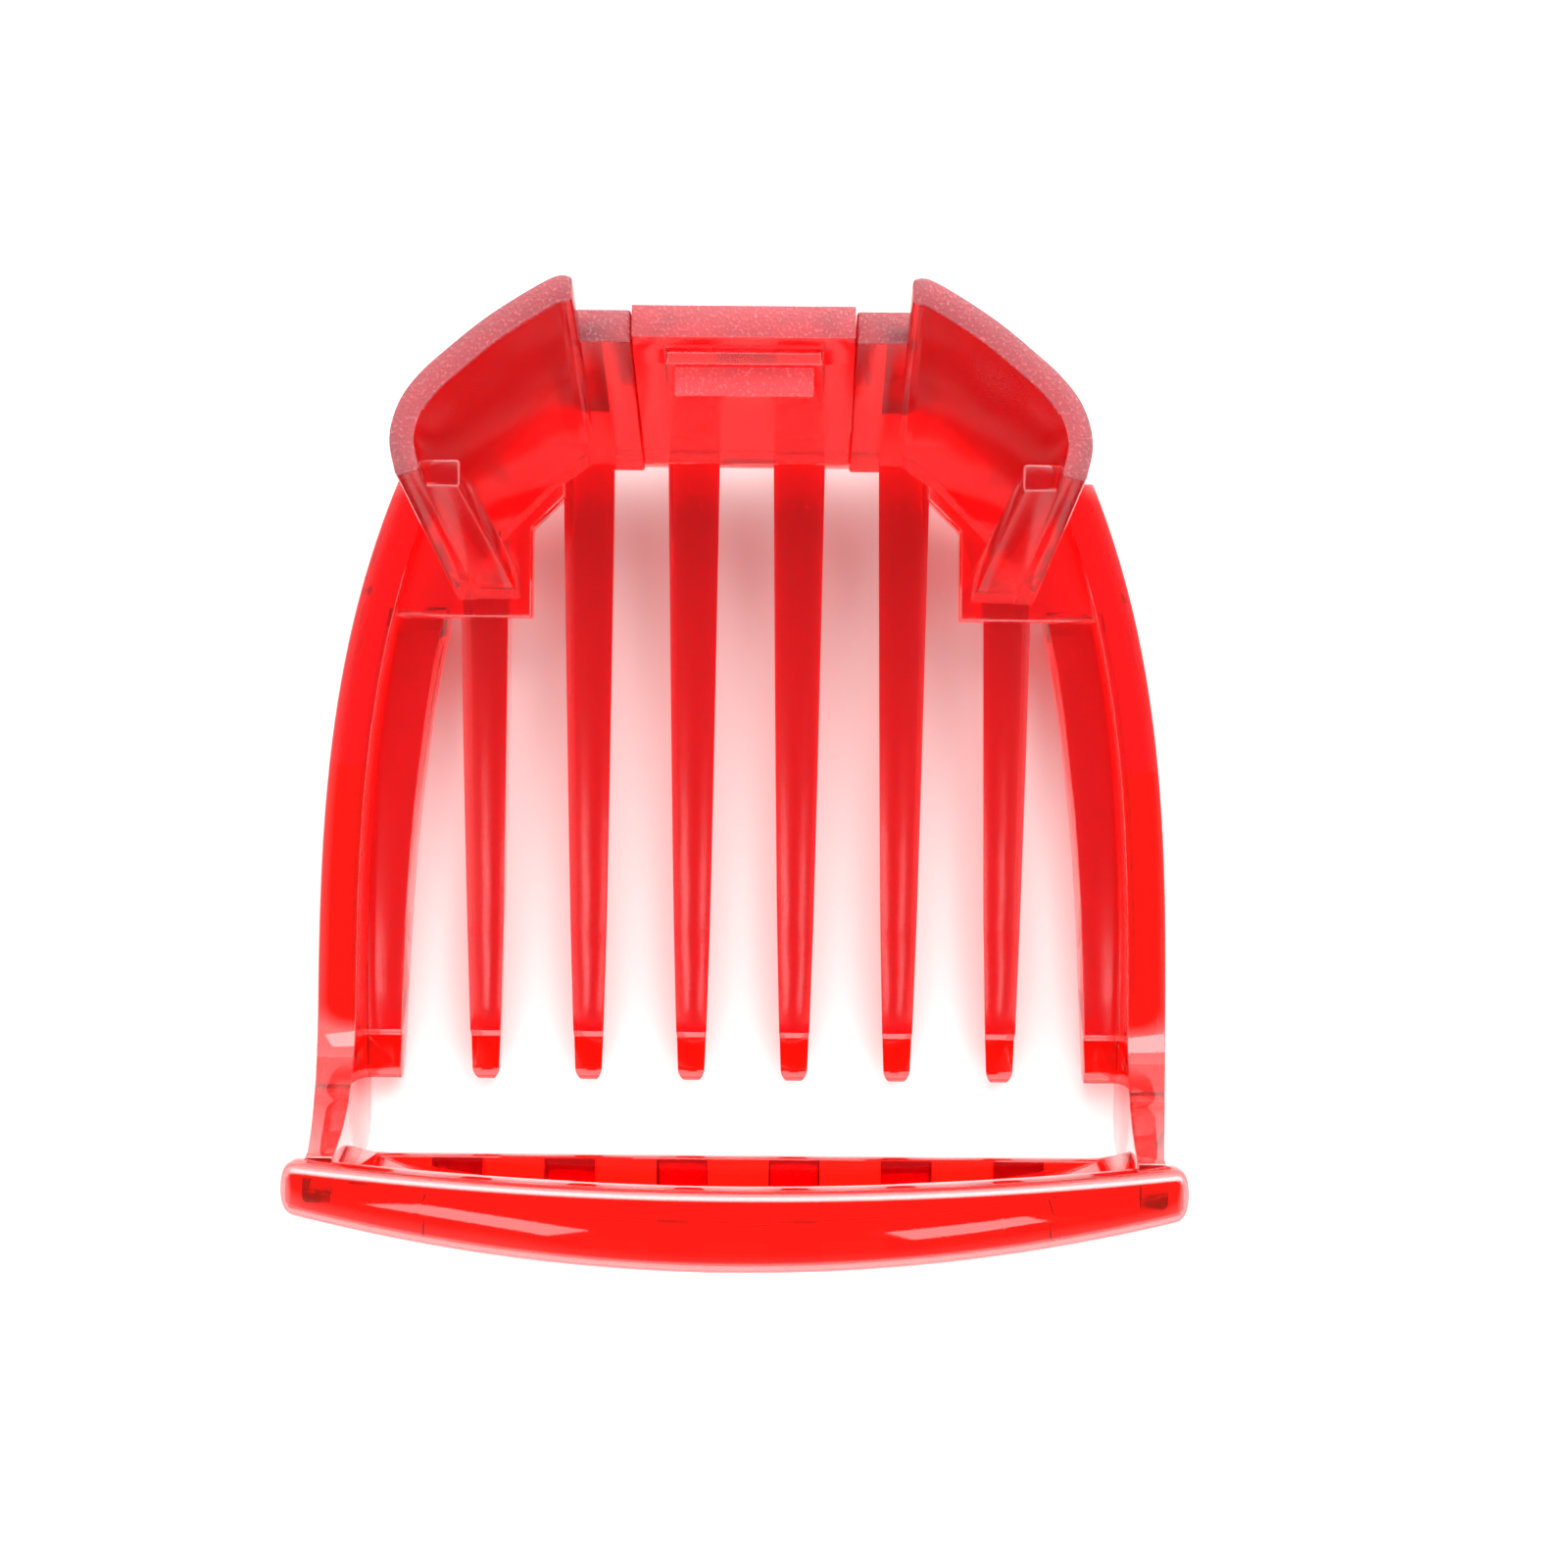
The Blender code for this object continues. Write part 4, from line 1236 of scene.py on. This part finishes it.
@dataclass
class GuideComb:
    """The whole comb: the fused moulding and the sprung latch, and where each finish lies."""

    gauge: Gauge
    upward: float = 0.45
    level: float = 0.9
    lip_slopes: Point2 = (0.12, 0.985)
    wing_rim: float = 0.35 * MM
    rear_rim: float = 0.75 * MM
    catch_half: float = 3.5 * MM
    catch_band: float = 0.2 * MM
    polished_tip: float = 2.6 * MM
    satin_rise: float = 0.3 * MM
    slack: float = 0.05 * MM
    sharp_angle: float = 20.0

    def surface(self, centre: Vector, normal: Vector) -> Surface:
        """The finish of a face.

        Args:
            centre: The face's middle.
            normal: The way it faces.

        Returns:
            Its finish.
        """
        g = self.gauge
        off_middle = abs(centre.x)
        behind = centre.y > g.root_y
        wing_rim = centre.z > g.height - self.wing_rim and centre.y > 0
        rear_rim = centre.z > g.rear_rim - self.rear_rim and behind and off_middle < g.fold_x
        over_catch = abs(centre.z - g.rear_rim + Latch.catch_drop) < self.catch_band
        on_catch = off_middle < self.catch_half and over_catch and behind
        if normal.z > self.upward and (wing_rim or rear_rim or on_catch):
            return Surface.ROUGH
        level = normal.z > self.level
        # Painted shade: the ledge's top over each hoop rib gets a dark tint for the shade of the
        # rib below.
        if level and self.over_hoop_rib(centre):
            return Surface.ETCHED
        rounded = self.lip_slopes[0] < normal.z < self.lip_slopes[1]
        if rounded and centre.z > g.lip_bottom and centre.y < 0:
            return Surface.EDGE
        on_teeth = g.tip_y + self.polished_tip < centre.y < g.root_y
        on_teeth = on_teeth and off_middle < g.side - g.wall
        if level and on_teeth and centre.z < g.floor_top + self.slack:
            return Surface.SATIN
        on_wing = centre.y > 0 and off_middle > g.fold_x - 0.2 * MM
        if centre.z > g.floor_top + self.satin_rise and (behind or on_wing):
            return Surface.SATIN
        return Surface.POLISHED

    def over_hoop_rib(self, centre: Vector) -> bool:
        """Whether a place is on the top of the hoop's ledge, over one of its ribs, where the
        painted shade goes.

        Args:
            centre: The place.

        Returns:
            True where a rib lies under it.
        """
        g = self.gauge
        off_rib = abs(centre.x / g.pitch % 1.0 - 0.5) * g.pitch
        if off_rib >= FrontHoop.rib_width / 2 or abs(centre.x) >= FrontHoop.rib_count / 2 * g.pitch:
            return False
        return abs(centre.z - g.hoop_bottom - FrontHoop.ledge) < self.slack

    def dress(self, body: Solid, plastic: bpy.types.Material) -> None:
        """Gives a body its plastic, its finish face by face, and its shading.

        Args:
            body: The fused body.
            plastic: The clear plastic.
        """
        mesh = body.data
        mesh.materials.clear()
        mesh.materials.append(plastic)
        values = [self.surface(face.center, face.normal).value for face in mesh.polygons]
        finish = mesh.attributes.new("finish", "FLOAT", "FACE")
        finish.data.foreach_set("value", values)
        mesh.polygons.foreach_set("material_index", [0] * len(values))
        mesh.shade_smooth()
        mesh.set_sharp_from_angle(angle=radians(self.sharp_angle))

    def build(self) -> None:
        """Shapes, fuses and dresses both bodies, and ties the moulding to the frame."""
        plastic = ClearRed().material()
        g = self.gauge
        regions = [Teeth(g, plastic), SideFrames(g), Cradle(g), FrontHoop(g, plastic)]
        solids = []
        for region in regions:
            made = region.build()
            LOG.info("%s: %d solids", type(region).__name__, len(made))
            solids += made
        comb = fuse("comb_moulding", solids)
        latch = fuse("latch_tongue_moulding", Latch(g).build())
        for piece in (comb, latch):
            self.dress(piece, plastic)
            LOG.info("%s: %d faces", piece.name, len(piece.data.polygons))
        bodies = frame["record"]["behaviour"]["bodies"]
        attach(comb, "comb")
        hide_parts(*bodies["comb"])
        root = Vector((0.0, g.rear_inner_y(g.floor_top), g.floor_top))
        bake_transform(latch)
        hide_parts(*bodies["latch"])


# ---- Studio ----


@dataclass(frozen=True)
class Lamp:
    """One soft rectangular lamp that looks at the comb."""

    name: str
    place: Point3
    size: Point2
    power: float

    def build(self) -> None:
        """Adds the lamp."""
        data = bpy.data.lights.new(self.name, "AREA")
        data.shape = "RECTANGLE"
        data.size, data.size_y = self.size
        data.energy = self.power
        lamp = bpy.data.objects.new(self.name, data)
        lamp.location = self.place
        lamp.rotation_mode = "QUATERNION"
        lamp.rotation_quaternion = (-Vector(self.place)).to_track_quat("-Z", "Y")
        bpy.context.scene.collection.objects.link(lamp)


@dataclass
class Studio:
    """A pale table, soft light and the camera above.

    The table is a trace warm, which stands in for the red light that clear plastic throws on it.
    """

    camera_place: Point3 = (2.09 * MM, -0.4 * MM, 122.2 * MM)
    camera_turn: float = 0.5
    lens: float = 51.6
    floor_half: float = 1.5
    floor_drop: float = 0.02 * MM
    floor_colour: Point3 = (0.48, 0.445, 0.44)
    room: tuple[Point2, Point2] = ((0.86, 1.0), (0.955, 0.03))
    room_light: float = 4.0
    lamps: tuple[Lamp, ...] = (
        Lamp("key lamp", (0.12, 0.42, 0.45), (0.70, 0.35), 5.4),
        Lamp("left window", (-0.066, -0.100, 0.42), (0.045, 0.024), 0.018),
        Lamp("right window", (0.047, -0.105, 0.42), (0.032, 0.022), 0.012),
    )

    def floor(self) -> None:
        """The white table top."""
        shape = bmesh.new()
        bmesh.ops.create_grid(shape, x_segments=1, y_segments=1, size=self.floor_half)
        for vert in shape.verts:
            vert.co.z = -self.floor_drop
        mesh = bpy.data.meshes.new("table")
        shape.to_mesh(mesh)
        shape.free()
        table = bpy.data.objects.new("table", mesh)
        bpy.context.scene.collection.objects.link(table)
        material = bpy.data.materials.new("white table")
        material.use_nodes = True
        shader = material.node_tree.nodes["Principled BSDF"]
        shader.inputs["Base Color"].default_value = (*self.floor_colour, 1.0)
        shader.inputs["Roughness"].default_value = 0.5
        mesh.materials.append(material)

    def world(self) -> None:
        """A pale room, bright low down and dim overhead."""
        world = bpy.data.worlds.new("pale room")
        bpy.context.scene.world = world
        world.use_nodes = True
        wiring = Wiring(world.node_tree)
        where = wiring.add("ShaderNodeTexCoord").outputs["Generated"]
        height = wiring.add("ShaderNodeSeparateXYZ", {"Vector": where}).outputs["Z"]
        ramp = wiring.add("ShaderNodeValToRGB", {"Fac": height})
        for element, (place, grey) in zip(ramp.color_ramp.elements, self.room):
            element.position = place
            element.color = (grey, grey, grey, 1.0)
        background = world.node_tree.nodes["Background"]
        wiring.feed(background, {"Color": ramp.outputs["Color"], "Strength": self.room_light})

    def camera(self) -> None:
        """The camera, straight above the comb."""
        data = bpy.data.cameras.new("camera")
        data.lens = self.lens
        data.sensor_width = 36.0
        data.clip_start = 0.005
        data.clip_end = 20.0
        camera = bpy.data.objects.new("camera", data)
        camera.location = self.camera_place
        camera.rotation_euler = (0.0, 0.0, radians(self.camera_turn))
        bpy.context.scene.collection.objects.link(camera)
        bpy.context.scene.camera = camera

    def build(self) -> None:
        """Sets up the table, the lights and the camera."""
        self.floor()
        self.world()
        for lamp in self.lamps:
            lamp.build()
        self.camera()
        scene = bpy.context.scene
        scene.view_settings.view_transform = "Standard"
        scene.view_settings.look = "None"


def main() -> None:
    """Builds the comb and its studio."""
    logging.basicConfig(level=logging.INFO, format="%(name)s: %(message)s")
    GuideComb(Gauge.from_frame()).build()
    Studio().build()


if __name__ == "__main__":
    main()
